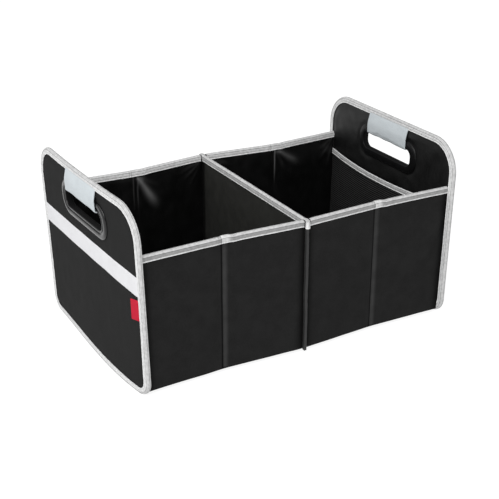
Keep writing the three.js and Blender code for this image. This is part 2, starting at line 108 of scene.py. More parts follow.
def add_mesh(name, points, faces):
    """A mesh object from a list of points and a list of faces."""
    mesh = bpy.data.meshes.new(name)
    mesh.from_pydata(points, [], faces)
    made = bpy.data.objects.new(name, mesh)
    bpy.context.scene.collection.objects.link(made)
    return made


FLOOR_HALF, FLOOR_GREY, FLOOR_GLOW = 60.0, 0.2, 0.88
SKY_STRENGTH = 0.55
corners = [(-FLOOR_HALF, -FLOOR_HALF, 0), (FLOOR_HALF, -FLOOR_HALF, 0),
           (FLOOR_HALF, FLOOR_HALF, 0), (-FLOOR_HALF, FLOOR_HALF, 0)]
floor = add_mesh("floor", corners, [(0, 1, 2, 3)])
floor.data.materials.append(plain_material("pale floor", (FLOOR_GREY,) * 3, 0.9, FLOOR_GLOW))

world = bpy.data.worlds.new("sky")
bpy.context.scene.world = world
world.use_nodes = True
world.node_tree.nodes["Background"].inputs["Color"].default_value = (1, 1, 1, 1)
world.node_tree.nodes["Background"].inputs["Strength"].default_value = SKY_STRENGTH


def softbox(name, azimuth, elevation, distance, size, power):
    """A square light that faces the box from an azimuth and an elevation, in degrees."""
    lamp = bpy.data.lights.new(name, "AREA")
    lamp.size = size
    lamp.energy = power
    made = bpy.data.objects.new(name, lamp)
    direction = away(math.radians(azimuth), math.radians(elevation))
    made.location = CAMERA_AIM + distance * direction
    made.rotation_euler = (-direction).to_track_quat("-Z", "Y").to_euler()
    bpy.context.scene.collection.objects.link(made)
    return made


# Azimuth and elevation in degrees, distance and size in metres, power in watts.
SOFTBOXES = {
    "camera side": (-36, 46, 2.2, 1.5, 36),
    "left": (-95, 36, 2.2, 1.2, 9),
    "top": (170, 72, 2.2, 1.2, 4),
}
for light_name, settings in SOFTBOXES.items():
    softbox(light_name, *settings)
bpy.context.scene.view_settings.view_transform = "Standard"
print("soft lights:", ", ".join(SOFTBOXES))

# %% [markdown]
# ## How the box stands
#
# A box of cloth and board never stands quite square. The left end leans out and bows, the long walls
# fold a little inwards at their creases and stand out at the middle. These sizes are those of the
# construction model, and every surface below is worked out from them.

# %% Sizes of the box
PANEL_WIDTH, PANEL_HEIGHT = 325 * MM, 274 * MM
TOP_RADIUS, BOTTOM_RADIUS = 50 * MM, 24 * MM
BOX_LENGTH, BOX_DEPTH = 493 * MM, 300 * MM
WALL_LOW, WALL_TOP = 7.1 * MM, 207 * MM
CREASE, CREASE_STRIP = 124 * MM, 11 * MM
SEAM_HALF = 6 * MM
GAP = 0.3 * MM
END_BOARD, WALL_BOARD, DIVIDER_BOARD = 2.4 * MM, 2.4 * MM, 2 * MM
CLOTH, LINING, DIVIDER_CLOTH, TAPE = 0.8 * MM, 0.6 * MM, 0.7 * MM, 0.8 * MM
WALL_TAPE_WIDTH, END_TAPE_WIDTH = 9.6 * MM, 9.4 * MM
BEND_ROUND, STRETCH_FROM = 7 * MM, 150 * MM

divider_low, divider_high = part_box("divider_board")
DIVIDER_X = (divider_low.x + divider_high.x) / 2

ENDS = {
    "left": {"side": -1, "swing": 1.7, "lean": 1.5, "low": 8 * MM, "high": 4.8 * MM, "skew": 0.84},
    "right": {"side": 1, "swing": 0, "lean": 1.1, "low": 0, "high": 0, "skew": 0},
}
WALLS = {
    "front": {"outward": -1, "crease_in": 3.5 * MM, "centre_out": 2.5 * MM},
    "back": {"outward": 1, "crease_in": 8.5 * MM, "centre_out": 4 * MM},
}
SIDES = {"left": -1, "right": 1}

END_SEAT = END_BOARD / 2 + GAP + CLOTH + GAP
INNER_SEAT = -(END_BOARD / 2 + GAP + LINING + GAP)
WALL_SEAT = WALL_BOARD / 2 + GAP + CLOTH + GAP
WALL_INNER_SEAT = -(WALL_BOARD / 2 + GAP + LINING + GAP)
WALL_STOP = INNER_SEAT - TAPE - GAP
WALL_REACH = BOX_LENGTH / 2 + WALL_STOP
HALF_WALLS = [(wall_name, side_name) for wall_name in WALLS for side_name in SIDES]
print("divider at x =", round(DIVIDER_X, 5))

# %% Where the surfaces lie
def ease(x, low, high):
    """0 below low and 1 above high, along 3 t squared minus 2 t cubed."""
    t = np.clip((x - low) / (high - low), 0, 1)
    return t * t * (3 - 2 * t)


def bell(x, middle, width):
    """A bell of height 1: e to the minus squared distance from the middle over the width."""
    return np.exp(-(((x - middle) / width) ** 2))


def ripple(a, b, length, seed, waves=14):
    """A smooth uneven height of about -1 to 1: a sum of sine waves in seeded directions."""
    rng = np.random.default_rng(seed)
    height = 0
    for _ in range(waves):
        angle, phase, stretch = rng.uniform((0, 0, 0.6), (np.pi, 2 * np.pi, 1.7))
        turn = 2 * np.pi / (length * stretch)
        height = height + np.sin(turn * (a * np.cos(angle) + b * np.sin(angle)) + phase)
    return height / math.sqrt(waves)


def end_offset(end, y, z):
    """Distance from the divider to an end's middle plane: its swing grows with y, its lean with z,
    and its bow falls off as one minus the squared share of the half width. The bow at the foot dies
    away upwards, and the bow at the top downwards, each with the third power of the height."""
    across = 2 * y / PANEL_WIDTH
    up = np.clip(z / PANEL_HEIGHT, 0, 1)
    low = end["low"] * (1 - across**2) * (1 - end["skew"] * across) * (1 - up) ** 3
    high = end["high"] * (1 - across**2) * up**3
    swing = math.tan(math.radians(end["swing"])) * (y + BOX_DEPTH / 2)
    lean = math.tan(math.radians(end["lean"])) * z
    return BOX_LENGTH / 2 + swing + lean + low + high


def on_end(end, depth, y, z):
    """Carries a depth outwards from an end's middle plane to the place where that end stands."""
    depth, y, z = np.broadcast_arrays(depth, y, z)
    return np.stack([DIVIDER_X + end["side"] * (depth + end_offset(end, y, z)), y, z], axis=-1)


def wall_shift(wall, distance):
    """How far a wall stands out at a distance from the divider: straight runs between its bends,
    averaged over a few millimetres so that the bends are round."""
    bends = [SEAM_HALF, CREASE - CREASE_STRIP / 2, CREASE + CREASE_STRIP / 2, BOX_LENGTH / 2]
    shifts = [wall["centre_out"], -wall["crease_in"], -wall["crease_in"], 0]
    around = np.linspace(-BEND_ROUND, BEND_ROUND, 15)
    return np.mean([np.interp(distance + step, bends, shifts) for step in around], axis=0)


def on_wall(wall, side, distance, depth, z):
    """Carries a distance from the divider and a depth outwards from a wall's middle plane to the
    place where that wall stands. Near its end the distance stretches to meet the end panel."""
    distance, depth, z = np.broadcast_arrays(distance, depth, z)
    y = wall["outward"] * (BOX_DEPTH / 2 + wall_shift(wall, distance) + depth)
    end = ENDS["left" if side < 0 else "right"]
    spare = end_offset(end, y, z) - BOX_LENGTH / 2
    x = distance + spare * ease(distance, STRETCH_FROM, WALL_REACH)
    return np.stack([DIVIDER_X + side * x, y, z], axis=-1)


# %% [markdown]
# ## Cloth as a solid
#
# Every cloth here is a thin solid with two faces: two grids of points, one on each face, joined round
# their edges. That is closed and faces outwards. The alternative, one sheet with a Solidify modifier,
# would thicken the cloth evenly but could not fold tape tightly round an edge.
# Each piece carries its own UV map in metres along the cloth, so a weave keeps its true size.

# %% Build cloth, rings and pieces
SHARP_ANGLE = math.radians(48)


def face_quads(near, far):
    """Corner numbers of both faces and the four rims between two grids of point numbers."""
    def grid(a):
        return np.stack([a[:-1, :-1], a[1:, :-1], a[1:, 1:], a[:-1, 1:]], axis=-1).reshape(-1, 4)

    def rim(a, b):
        return np.stack([a[1:], a[:-1], b[:-1], b[1:]], axis=-1)

    quads = [grid(near), grid(far)[:, ::-1]]
    quads += [rim(near[:, 0], far[:, 0]), rim(near[::-1, -1], far[::-1, -1])]
    if near[0, 0] != near[-1, 0]:
        quads += [rim(near[-1], far[-1]), rim(near[0, ::-1], far[0, ::-1])]
    return np.concatenate(quads)


def finish_piece(name, points, quads, uv, uv_quads, look, stands_for):
    """Puts points, faces and a UV map into a mesh whose faces look outwards, attached to the root body.
    """
    a, b, c, d = (points[quads[:, i]] for i in range(4))
    volume = np.einsum("ij,ij->", a, np.cross(b, c)) + np.einsum("ij,ij->", a, np.cross(c, d))
    if volume < 0:
        quads, uv_quads = quads[:, ::-1], uv_quads[:, ::-1]
    mesh = bpy.data.meshes.new(name)
    mesh.vertices.add(len(points))
    mesh.vertices.foreach_set("co", points.astype(np.float32).ravel())
    mesh.loops.add(quads.size)
    mesh.loops.foreach_set("vertex_index", quads.astype(np.int32).ravel())
    mesh.polygons.add(len(quads))
    mesh.polygons.foreach_set("loop_start", np.arange(0, quads.size, 4, dtype=np.int32))
    mesh.polygons.foreach_set("use_smooth", np.ones(len(quads), dtype=bool))
    mesh.update(calc_edges=True)
    layer = mesh.uv_layers.new(name="cloth")
    layer.uv.foreach_set("vector", uv[uv_quads.ravel()].astype(np.float32).ravel())
    mesh.set_sharp_from_angle(angle=SHARP_ANGLE)
    mesh.materials.append(look)
    piece = bpy.data.objects.new(name, mesh)
    bpy.context.scene.collection.objects.link(piece)
    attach(piece, "root")
    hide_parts(*stands_for)
    print(f"{name}: {2 * len(quads)} triangles, {abs(volume) / 6 * 1e6:.1f} cm3")
    return piece


def cloth_solid(name, near, far, uv, look, stands_for, closed=False):
    """A cloth with the points near on one face and far on the other, each rows by columns. A closed
    one joins its last row to its first, and its UV grid then has one row more."""
    rows, columns = near.shape[:2]
    numbers = np.arange(rows * columns).reshape(rows, columns)
    if closed:
        numbers = np.vstack([numbers, numbers[:1]])
    uv_numbers = np.arange(uv.shape[0] * columns).reshape(-1, columns)
    quads = face_quads(numbers, numbers + rows * columns)
    uv_rows = face_quads(uv_numbers, uv_numbers)
    if closed:
        uv_rows = uv_rows[: len(quads)]
    points = np.concatenate([near.reshape(-1, 3), far.reshape(-1, 3)])
    return finish_piece(name, points, quads, uv.reshape(-1, 2), uv_rows, look, stands_for)


def ring_solid(name, points, uv, look, stands_for):
    """A closed profile carried round a closed path: rows along the path, columns round the profile."""
    rows, columns = points.shape[:2]
    numbers = np.arange(rows * columns).reshape(rows, columns)
    wrapped = np.pad(numbers, ((0, 1), (0, 1)), mode="wrap")
    uv_numbers = np.arange((rows + 1) * (columns + 1)).reshape(rows + 1, columns + 1)
    quads = [np.stack([a[:-1, :-1], a[1:, :-1], a[1:, 1:], a[:-1, 1:]], axis=-1).reshape(-1, 4)
             for a in (wrapped, uv_numbers)]
    return finish_piece(name, points.reshape(-1, 3), quads[0], uv.reshape(-1, 2), quads[1],
                        look, stands_for)


def lengths_along(points):
    """Distance from the first point to each point of a line, measured along it."""
    steps = np.linalg.norm(np.diff(points, axis=0), axis=-1)
    return np.concatenate([[0], np.cumsum(steps)])


def grid_uv(points, closed=False):
    """UV in metres: the distance along the middle column, and along the middle row."""
    line = points[:, points.shape[1] // 2]
    if closed:
        line = np.vstack([line, line[:1]])
    along, across = lengths_along(line), lengths_along(points[points.shape[0] // 2])
    return np.stack(np.meshgrid(along, across, indexing="ij"), axis=-1)


# %% [markdown]
# ## Finishes
#
# The box has few finishes, and the weave of each is what tells them apart: a matt charcoal cloth
# outside, a coated black lining inside, light grey ribbed tape on the edges, glossy black moulding
# round the handles. The patterns are written as sums on the UV map, through a small class that turns
# Python arithmetic into shader nodes, because formulas read better than a page of node links.

# %% Shader arithmetic
class Socket:
    """A node's output. Arithmetic on it adds Math nodes."""

    def __init__(self, finish, output):
        self.finish = finish
        self.output = output

    def math(self, operation, *values):
        return self.finish.node("Math", {"operation": operation}, *values)

    def __add__(self, other):
        return self.math("ADD", self, other)

    def __mul__(self, other):
        return self.math("MULTIPLY", self, other)

    def __sub__(self, other):
        return self.math("SUBTRACT", self, other)

    def __rsub__(self, other):
        return self.math("SUBTRACT", other, self)

    def __truediv__(self, other):
        return self.math("DIVIDE", self, other)

    __radd__ = __add__
    __rmul__ = __mul__

    def wave(self, length, start=0.0):
        """A sine wave from -1 to 1 with this wavelength."""
        return self.math("SINE", (self - start) * (2 * math.pi / length))

    def near(self, middle, width):
        """1 at the middle, falling to 0 at the width to each side."""
        distance = self.math("ABSOLUTE", self - middle)
        return self.finish.node("MapRange", {"interpolation_type": "SMOOTHSTEP"},
                                distance, 0.0, width, 1.0, 0.0)

    def clamped(self):
        """The value kept between 0 and 1."""
        return self.finish.node("Clamp", None, self)

    def over(self, low, high):
        """0 below low and 1 above high, eased between."""
        return self.finish.node("MapRange", {"interpolation_type": "SMOOTHSTEP"},
                                self, low, high, 0.0, 1.0)


class Finish:
    """A material, with one method that adds any node to it."""

    def __init__(self, name, **constants):
        self.material = bpy.data.materials.new(name)
        self.material.use_nodes = True
        self.tree = self.material.node_tree
        self.shader = self.tree.nodes["Principled BSDF"]
        for socket, value in constants.items():
            label = socket.replace("_", " ").title().replace("Ior", "IOR")
            self.shader.inputs[label].default_value = value

    def node(self, kind, settings=None, *values, output=0, **named):
        """Adds a node: its settings first, then the values or links of its sockets, in order or by
        name."""
        made = self.tree.nodes.new("ShaderNode" + kind)
        for key, value in (settings or {}).items():
            setattr(made, key, value)
        given = list(enumerate(values)) + [(k.replace("_", " "), v) for k, v in named.items()]
        for key, value in given:
            if isinstance(value, Socket):
                self.tree.links.new(value.output, made.inputs[key])
            else:
                made.inputs[key].default_value = value
        return Socket(self, made.outputs[output])

    def cloth_uv(self):
        """The two directions of the piece's own UV map, in metres."""
        uv = self.node("UVMap", {"uv_map": "cloth"})
        split = self.node("SeparateXYZ", None, uv)
        node = split.output.node
        return Socket(self, node.outputs[0]), Socket(self, node.outputs[1])

    def noise(self, size, detail=2.0, stretch=(1, 1, 1)):
        """Noise from 0 to 1 on the object's own coordinates, with lumps of about this size."""
        place = self.node("TexCoord", None, output=3)
        scaled = self.node("Mapping", None, place, Scale=stretch)
        return self.node("TexNoise", None, Vector=scaled, Scale=1 / size, Detail=detail)

    def mix(self, share, first, second):
        """A colour between two colours."""
        mixed = self.node("Mix", {"data_type": "RGBA"}, output=2)
        node = mixed.output.node
        for number, value in ((0, share), (6, first), (7, second)):
            socket = node.inputs[number]
            if isinstance(value, Socket):
                self.tree.links.new(value.output, socket)
            else:
                socket.default_value = value if socket.type == "VALUE" else (*value, 1)
        return mixed

    def feed(self, socket, value):
        """Links a value to a socket of the shader."""
        self.tree.links.new(value.output, self.shader.inputs[socket])

    def relief(self, height, depth):
        """Bump from a height of 0 to 1 that stands for this depth in metres."""
        self.feed("Normal", self.node("Bump", None, Strength=1.0, Distance=depth, Height=height))


# %% The finishes
def grey(value):
    return (value, value, value)


def woven(name, dark, light, pitch, depth, roughness, painted_light=None, **constants):
    """Plain weave: the product of a wave along the warp and one along the weft, with threads that
    differ a little and broad patches where the cloth is a shade paler. An optional function, given the
    finish, the first direction of the map, the patches and the colour, may paint light or shade on it."""
    finish = Finish(name, roughness=roughness, **constants)
    u, v = finish.cloth_uv()
    weave = u.wave(pitch) * v.wave(pitch) * 0.5 + 0.5
    patches = finish.noise(18 * MM, 3).over(0.25, 0.75)
    threads = finish.noise(1.6 * MM, 1)
    shade = weave * 0.35 + patches * 0.25 + threads * 0.4
    colour = finish.mix(shade, dark, light)
    if painted_light:
        colour = painted_light(finish, u, patches, colour)
    finish.feed("Base Color", colour)
    finish.feed("Roughness", patches * 0.12 + (roughness - 0.06))
    finish.relief(weave * 0.7 + threads * 0.3, depth)
    return finish.material


def wall_painted_light(finish, u, patches, colour):
    """Painted light on a wall's outer cloth, whose map has its zero at the divider: a pale strip at each
    crease is a painted highlight, a dark line to its left a painted shadow, and painted shade darkens
    the cloth where it turns into a seam."""
    distance = u.math("ABSOLUTE", u)
    rightwards = (distance - CREASE) * u.math("SIGN", u)
    # Painted highlight on each crease strip, painted shadow in the line to its left (pressed), painted
    # shade at the seams.
    painted_crease_highlight = rightwards.over(-4 * MM, -2.6 * MM) * (1 - rightwards.over(-0.5 * MM, 5 * MM))
    pressed = rightwards.near(-5.8 * MM, 2.8 * MM)
    painted_seam_shade = distance.near(0, 16 * MM) * 0.8 + distance.near(WALL_REACH, 13 * MM) * 0.8
    colour = finish.mix(painted_seam_shade, colour, grey(0.001))
    colour = finish.mix(painted_crease_highlight * (0.6 + patches * 0.4), colour, grey(0.038))
    return finish.mix(pressed * 0.95, colour, grey(0.0005))


def divider_marks(finish, u, patches, colour):
    """Shade where the divider's cloth meets the walls; its map has the box's own Y."""
    meeting = u.math("ABSOLUTE", u).over(BOX_DEPTH / 2 - 9 * MM, BOX_DEPTH / 2 - 4 * MM)
    return finish.mix(meeting * 0.9, colour, grey(0.002))


def lining_painted_highlight(finish, u, patches, colour):
    """A painted highlight, paler coating along the crests of its folds. An attribute of the piece holds
    it.
    """
    crest_highlight = finish.node("Attribute", {"attribute_name": "crest_highlight"}, output=2)
    return finish.mix(crest_highlight, colour, grey(0.125))


RIB_PITCH, STITCH_PITCH = 1.3 * MM, 4 * MM


def ribbed_tape(name, shades, section, leaf_count, gathered=0, pressed=0, ends=None):
    """Woven edge tape in three shades, leaf, woven edge and fold, that are painted light: the paler woven
    edge is a painted highlight, and leaf and fold are painted lighter or darker by how they face the
    lamps. It has ribs across, cords along, a stitched line near each edge and fine dark lines where the
    fold begins and at its middle. At the creases gathered paints a highlight on the bulge and pressed
    paints dark shadow lines; ends is the length of a tape whose two ends get a painted highlight."""
    leaf_shade, edge_shade, fold_shade = shades
    along = lengths_along(section)
    leaf, width = along[leaf_count - 1], along[-1]
    finish = Finish(name, roughness=0.8, specular_ior_level=0.15)
    u, v = finish.cloth_uv()
    inwards = v.math("MINIMUM", v, width - v)
    ribs = u.wave(RIB_PITCH) * 0.5 + 0.5
    cords = inwards.wave(leaf / 3) * 0.5 + 0.5
    stitch = inwards.near(leaf * 0.3, 0.6 * MM) * (u.wave(STITCH_PITCH) * 3).over(-0.6, 0.6)
    uneven = finish.noise(4 * MM, 3).over(0.3, 0.7)
    colour = finish.mix(inwards.near(0, leaf * 0.42), grey(leaf_shade), grey(edge_shade))
    colour = finish.mix(inwards.over(leaf - 0.2 * MM, leaf + 1 * MM), colour, grey(fold_shade))
    if gathered or pressed:
        rightwards = (u.math("ABSOLUTE", u) - CREASE) * u.math("SIGN", u)
        # At a crease: a painted highlight on the gathered bulge and painted shadow lines beside it.
        painted_bulge_highlight = rightwards.over(-6 * MM, -5 * MM) * (1 - rightwards.over(3 * MM, 12 * MM))
        lines = rightwards.near(-6.6 * MM, 1.2 * MM) + rightwards.near(-10 * MM, 1.4 * MM) * 0.5
        colour = finish.mix(painted_bulge_highlight * gathered, colour, grey(edge_shade))
        colour = finish.mix(lines.clamped() * pressed, colour, grey(0.05))
    # A painted highlight on the tape's two ends, where it turns down as nubs.
    if ends:
        colour = finish.mix(u.near(0, 15 * MM) + u.near(ends, 15 * MM), colour, grey(0.85))
    lines_along = inwards.near(leaf, 0.7 * MM) * 0.5 + inwards.near(width / 2, 0.8 * MM) * 0.4
    dim = uneven * 0.2 + cords * 0.08 + stitch * 0.12 + lines_along
    finish.feed("Base Color", finish.mix(dim, colour, grey(0)))
    finish.relief(ribs * 0.2 + cords * 0.35 + stitch * 0.4 + uneven * 0.2, 0.5 * MM)
    return finish.material


wall_cloth_look = woven("charcoal cloth", grey(0.005), grey(0.02), 1.3 * MM, 0.15 * MM, 0.85,
                        painted_light=wall_painted_light, specular_ior_level=0.06)
end_cloth_look = woven("charcoal end cloth", grey(0.008), grey(0.0215), 1.3 * MM, 0.15 * MM, 0.85,
                       specular_ior_level=0.08)
divider_cloth = woven("divider cloth", (0.012, 0.012, 0.011), (0.036, 0.036, 0.033), 1.0 * MM,
                      0.08 * MM, 0.85, painted_light=divider_marks, specular_ior_level=0.1)
lining_cloth = woven("coated lining", grey(0.002), grey(0.005), 0.9 * MM, 0.03 * MM, 0.5,
                     specular_ior_level=0.3)
folded_lining = woven("folded lining", grey(0.001), grey(0.003), 0.9 * MM, 0.03 * MM, 0.42,
                      painted_light=lining_painted_highlight, specular_ior_level=0.3)
band_cloth = woven("white band", (0.59, 0.59, 0.605), (0.75, 0.75, 0.765), 1.5 * MM, 0.3 * MM, 0.8)
grip_cloth = woven("grip cloth", (0.43, 0.465, 0.485), (0.54, 0.58, 0.6), 0.8 * MM, 0.08 * MM, 0.7,
                   specular_ior_level=0.2)
seam_tape = woven("black tape", grey(0.008), grey(0.024), 1.0 * MM, 0.15 * MM, 0.7)
tag_cloth = woven("red tag", (0.36, 0.007, 0.022), (0.5, 0.016, 0.042), 1.0 * MM, 0.12 * MM, 0.8,
                  specular_ior_level=0.15)


def moulding(name, roughness, gloss, sleeve_from):
    """Black plastic whose very fine grain blurs its shine. The sleeve inside the hole, which begins at
    this length round the section, is dull."""
    finish = Finish(name, base_color=(0.003, 0.003, 0.0032, 1), specular_ior_level=0.12,
                    coat_roughness=0.18)
    v = finish.cloth_uv()[1]
    dull = v.over(sleeve_from - 0.6 * MM, sleeve_from + 0.2 * MM)
    grain = finish.noise(0.8 * MM, 2)
    finish.feed("Roughness", grain * 0.1 + roughness + dull * 0.6)
    finish.feed("Coat Weight", (1 - dull) * gloss)
    finish.relief(grain, 0.02 * MM)
    return finish.material


def stiff_board(name):
    """Grey board inside the cloth: pulp fibres and a dry surface."""
    finish = Finish(name, roughness=0.9)
    fibres = finish.noise(2 * MM, 4, stretch=(1, 3, 1))
    finish.feed("Base Color", finish.mix(fibres, (0.11, 0.1, 0.085), (0.2, 0.18, 0.15)))
    finish.relief(fibres, 0.1 * MM)
    return finish.material


def net(name, cell):
    """Knitted netting: slanting yarns both ways with a heavier yarn along each row, open between."""
    finish = Finish(name, roughness=0.7, specular_ior_level=0.1)
    u, v = finish.cloth_uv()
    row = v.wave(cell) * 0.5 + 0.5
    slant = (u * 0.9 + v).wave(cell * 0.9) * (u * 0.9 - v).wave(cell * 0.9)
    yarn = (row.over(0.35, 0.75) + slant.over(-0.15, 0.25)).over(0.15, 0.6)
    finish.feed("Base Color", finish.mix(row.over(0.45, 0.9), grey(0.001), grey(0.048)))
    finish.feed("Alpha", yarn * 0.85 + 0.15)
    finish.relief(row * 0.6 + slant * 0.4, 0.3 * MM)
    return finish.material


board = stiff_board("grey board")
pocket_net = net("pocket net", 3.6 * MM)
print("finishes:", len(bpy.data.materials))

# %% [markdown]
# ## End panels
#
# Each end is a sandwich of charcoal cloth, board and lining with a long hole for the hand. One grid
# serves each layer: its rows run round the hole and its columns run from the hole to the rim along
# rays from the hole's middle. A flat plate with a boolean cut would give the same outline, but this
# grid bends smoothly and has no stray corners.

# %% Outlines of the end panel
SLOT_LENGTH, SLOT_HEIGHT, SLOT_RADIUS = 121 * MM, 27 * MM, 11 * MM
SLOT_MIDDLE = PANEL_HEIGHT - 53 * MM


def rounded_loop(half_y, low, high, radius_low, radius_high, counts):
    """Points round a rectangle with round corners, from the middle of its foot towards +y. counts
    gives the steps along the foot, a lower corner, a side, an upper corner and the top."""
    foot, corner, side, upper, top = counts
    def arc(y, z, radius, start, steps):
        angle = start + np.linspace(0, np.pi / 2, steps, endpoint=False)
        return np.stack([y + radius * np.cos(angle), z + radius * np.sin(angle)], axis=-1)

    def run(a, b, steps):
        return np.linspace(a, b, steps, endpoint=False)

    right = [
        run((0, low), (half_y - radius_low, low), foot),
        arc(half_y - radius_low, low + radius_low, radius_low, -np.pi / 2, corner),
        run((half_y, low + radius_low), (half_y, high - radius_high), side),
        arc(half_y - radius_high, high - radius_high, radius_high, 0, upper),
        run((half_y - radius_high, high), (0, high), top),
    ]
    half = np.concatenate([*right, [(0, high)]])
    return np.concatenate([half[:-1], (half * (-1, 1))[:0:-1]])


PANEL_COUNTS = (46, 18, 52, 28, 38)
SLOT_COUNTS = (30, 12, 4, 12, 30)


def panel_loop(inset):
    """The end panel's outline, drawn in by an inset."""
    return rounded_loop(PANEL_WIDTH / 2 - inset, inset, PANEL_HEIGHT - inset,
                        BOTTOM_RADIUS - inset, TOP_RADIUS - inset, PANEL_COUNTS)


def slot_loop(offset):
    """The hand hole's outline, drawn out by an offset."""
    reach = SLOT_RADIUS + offset
    return rounded_loop(SLOT_LENGTH / 2 + offset, SLOT_MIDDLE - SLOT_HEIGHT / 2 - offset,
                        SLOT_MIDDLE + SLOT_HEIGHT / 2 + offset, reach, reach, SLOT_COUNTS)


def along_rays(loop, angles):
    """The points of a loop at given angles about the hole's middle."""
    y, z = loop[:, 0], loop[:, 1] - SLOT_MIDDLE
    turn = np.arctan2(z, y)
    order = np.argsort(turn)
    reach = np.interp(angles, turn[order], np.hypot(y, z)[order], period=2 * np.pi)
    return np.stack([reach * np.cos(angles), SLOT_MIDDLE + reach * np.sin(angles)], axis=-1)


def outside_distance(y, z, half_y, low, high, radius_low, radius_high):
    """Distance outwards from a rectangle with round corners, negative inside it."""
    middle = (low + high) / 2
    radius = np.where(z > middle, radius_high, radius_low)
    over_y = np.abs(y) - (half_y - radius)
    over_z = np.abs(z - middle) - ((high - low) / 2 - radius)
    beyond = np.hypot(np.clip(over_y, 0, None), np.clip(over_z, 0, None))
    return beyond + np.minimum(np.maximum(over_y, over_z), 0) - radius


def panel_inset(y, z):
    """Distance of a point inside the end panel's outline."""
    return -outside_distance(y, z, PANEL_WIDTH / 2, 0, PANEL_HEIGHT, BOTTOM_RADIUS, TOP_RADIUS)


def slot_distance(y, z):
    """Distance of a point outside the hand hole."""
    half = SLOT_HEIGHT / 2
    return outside_distance(y, z, SLOT_LENGTH / 2, SLOT_MIDDLE - half, SLOT_MIDDLE + half,
                            SLOT_RADIUS, SLOT_RADIUS)


# %% Layers of the end panels
RIM_COVER = 3 * MM
SLEEVE = 1.6 * MM
RAYS, RAY_STEPS = 352, 40
FLANGE = 13 * MM


def end_layer(name, end, near_depth, far_depth, relief, look):
    """One layer of an end: a grid from the hole to the rim, raised by relief(y, z) on its outside."""
    angles = np.linspace(-np.pi, np.pi, RAYS, endpoint=False)
    inner = along_rays(slot_loop(SLEEVE + GAP), angles)[:, None]
    outer = along_rays(panel_loop(RIM_COVER), angles)[:, None]
    share = np.linspace(0, 1, RAY_STEPS)[None, :, None]
    flat = inner + (outer - inner) * share
    y, z = flat[..., 0], flat[..., 1]
    free = ease(panel_inset(y, z), END_TAPE_WIDTH, END_TAPE_WIDTH + 12 * MM)
    free = free * ease(slot_distance(y, z), FLANGE, FLANGE + 8 * MM)
    lift = relief(y, z) * free
    near = on_end(end, near_depth + lift, y, z)
    far = on_end(end, far_depth + lift, y, z)
    uv = np.concatenate([flat, flat[:1]])
    piece = cloth_solid(name, near, far, uv, look, [name], closed=True)
    return piece


for side_name, end in ENDS.items():
    seed = 3 if side_name == "left" else 8
    face = END_BOARD / 2 + GAP

    def cloth_relief(y, z):
        """Slight waves of the cloth on its board."""
        return (0.6 + 0.25 * ripple(y, z, 90 * MM, seed) + 0.12 * ripple(y, z, 28 * MM, seed + 1)) * MM

    def lining_relief(y, z):
        """The lining is slacker: deeper waves, inwards, that lean the same way as a cloth hangs
        from its upper corners."""
        slanted = ripple(y + 0.6 * z, 0.35 * z, 60 * MM, seed + 2)
        return -(1.1 + 0.5 * slanted + 0.2 * ripple(y, z, 26 * MM, seed + 3)) * MM

    end_layer(f"{side_name}_end_cloth", end, face + CLOTH, face, cloth_relief, end_cloth_look)
    end_layer(f"{side_name}_end_lining", end, -face - LINING, -face, lining_relief, lining_cloth)

# %% [markdown]
# ## Folded edge tape
#
# The tape round each end is folded over the edge and stitched through. Its section is an open loop
# that pillows out between the fold and the stitches, dips at the stitches and rises again at the
# woven edge. The section is worked out once as a curve and carried round the outline, with small
# puckers where the tape goes round a corner.

# %% Tape section and its sweep
END_LEAF_POINTS, WALL_LEAF_POINTS, FOLD_POINTS = 14, 13, 13


def tape_section(out_depth, in_depth, leaf, counts):
    """The outer line of folded tape as inset and depth, from the edge of the outer leaf over the
    fold to the edge of the inner leaf. The fold is half an ellipse, and each leaf dips at its
    stitches and lifts at its woven edge. counts gives the points on a leaf and round the fold."""
    middle = (out_depth + in_depth) / 2
    half = (out_depth - in_depth) / 2
    round_inset = 0.9 * half
    leaf_count, fold_count = counts
    inset = np.linspace(leaf, round_inset, leaf_count)
    share = (inset - round_inset) / (leaf - round_inset)
    pillow = 0.35 * np.sin(np.pi * ease(share, 0, 0.8))
    lift = pillow - 0.35 * bell(share, 0.74, 0.09) + 0.12 * ease(share, 0.85, 1)
    leaf_line = np.stack([inset, half + lift * MM], axis=-1)
    angle = np.linspace(0, np.pi, fold_count)[1:-1]
    fold = np.stack([round_inset * (1 - np.sin(angle)), half * np.cos(angle)], axis=-1)
    other = leaf_line[::-1] * (1, -1)
    return np.concatenate([leaf_line, fold, other]) + (0, middle)


def inner_line(section, thickness):
    """The line a thickness inside a section, along its normals."""
    along = np.gradient(section, axis=0)
    along /= np.linalg.norm(along, axis=-1, keepdims=True)
    normal = np.stack([-along[:, 1], along[:, 0]], axis=-1)
    middle = section[len(section) // 2]
    towards = section.mean(axis=0) - middle
    if normal[len(section) // 2] @ towards < 0:
        normal = -normal
    return section + thickness * normal


END_SECTION = tape_section(END_SEAT + TAPE, INNER_SEAT - TAPE, END_TAPE_WIDTH,
                           (END_LEAF_POINTS, FOLD_POINTS))
WALL_SECTION = tape_section(WALL_SEAT + TAPE, WALL_INNER_SEAT - TAPE, WALL_TAPE_WIDTH,
                            (WALL_LEAF_POINTS, FOLD_POINTS))
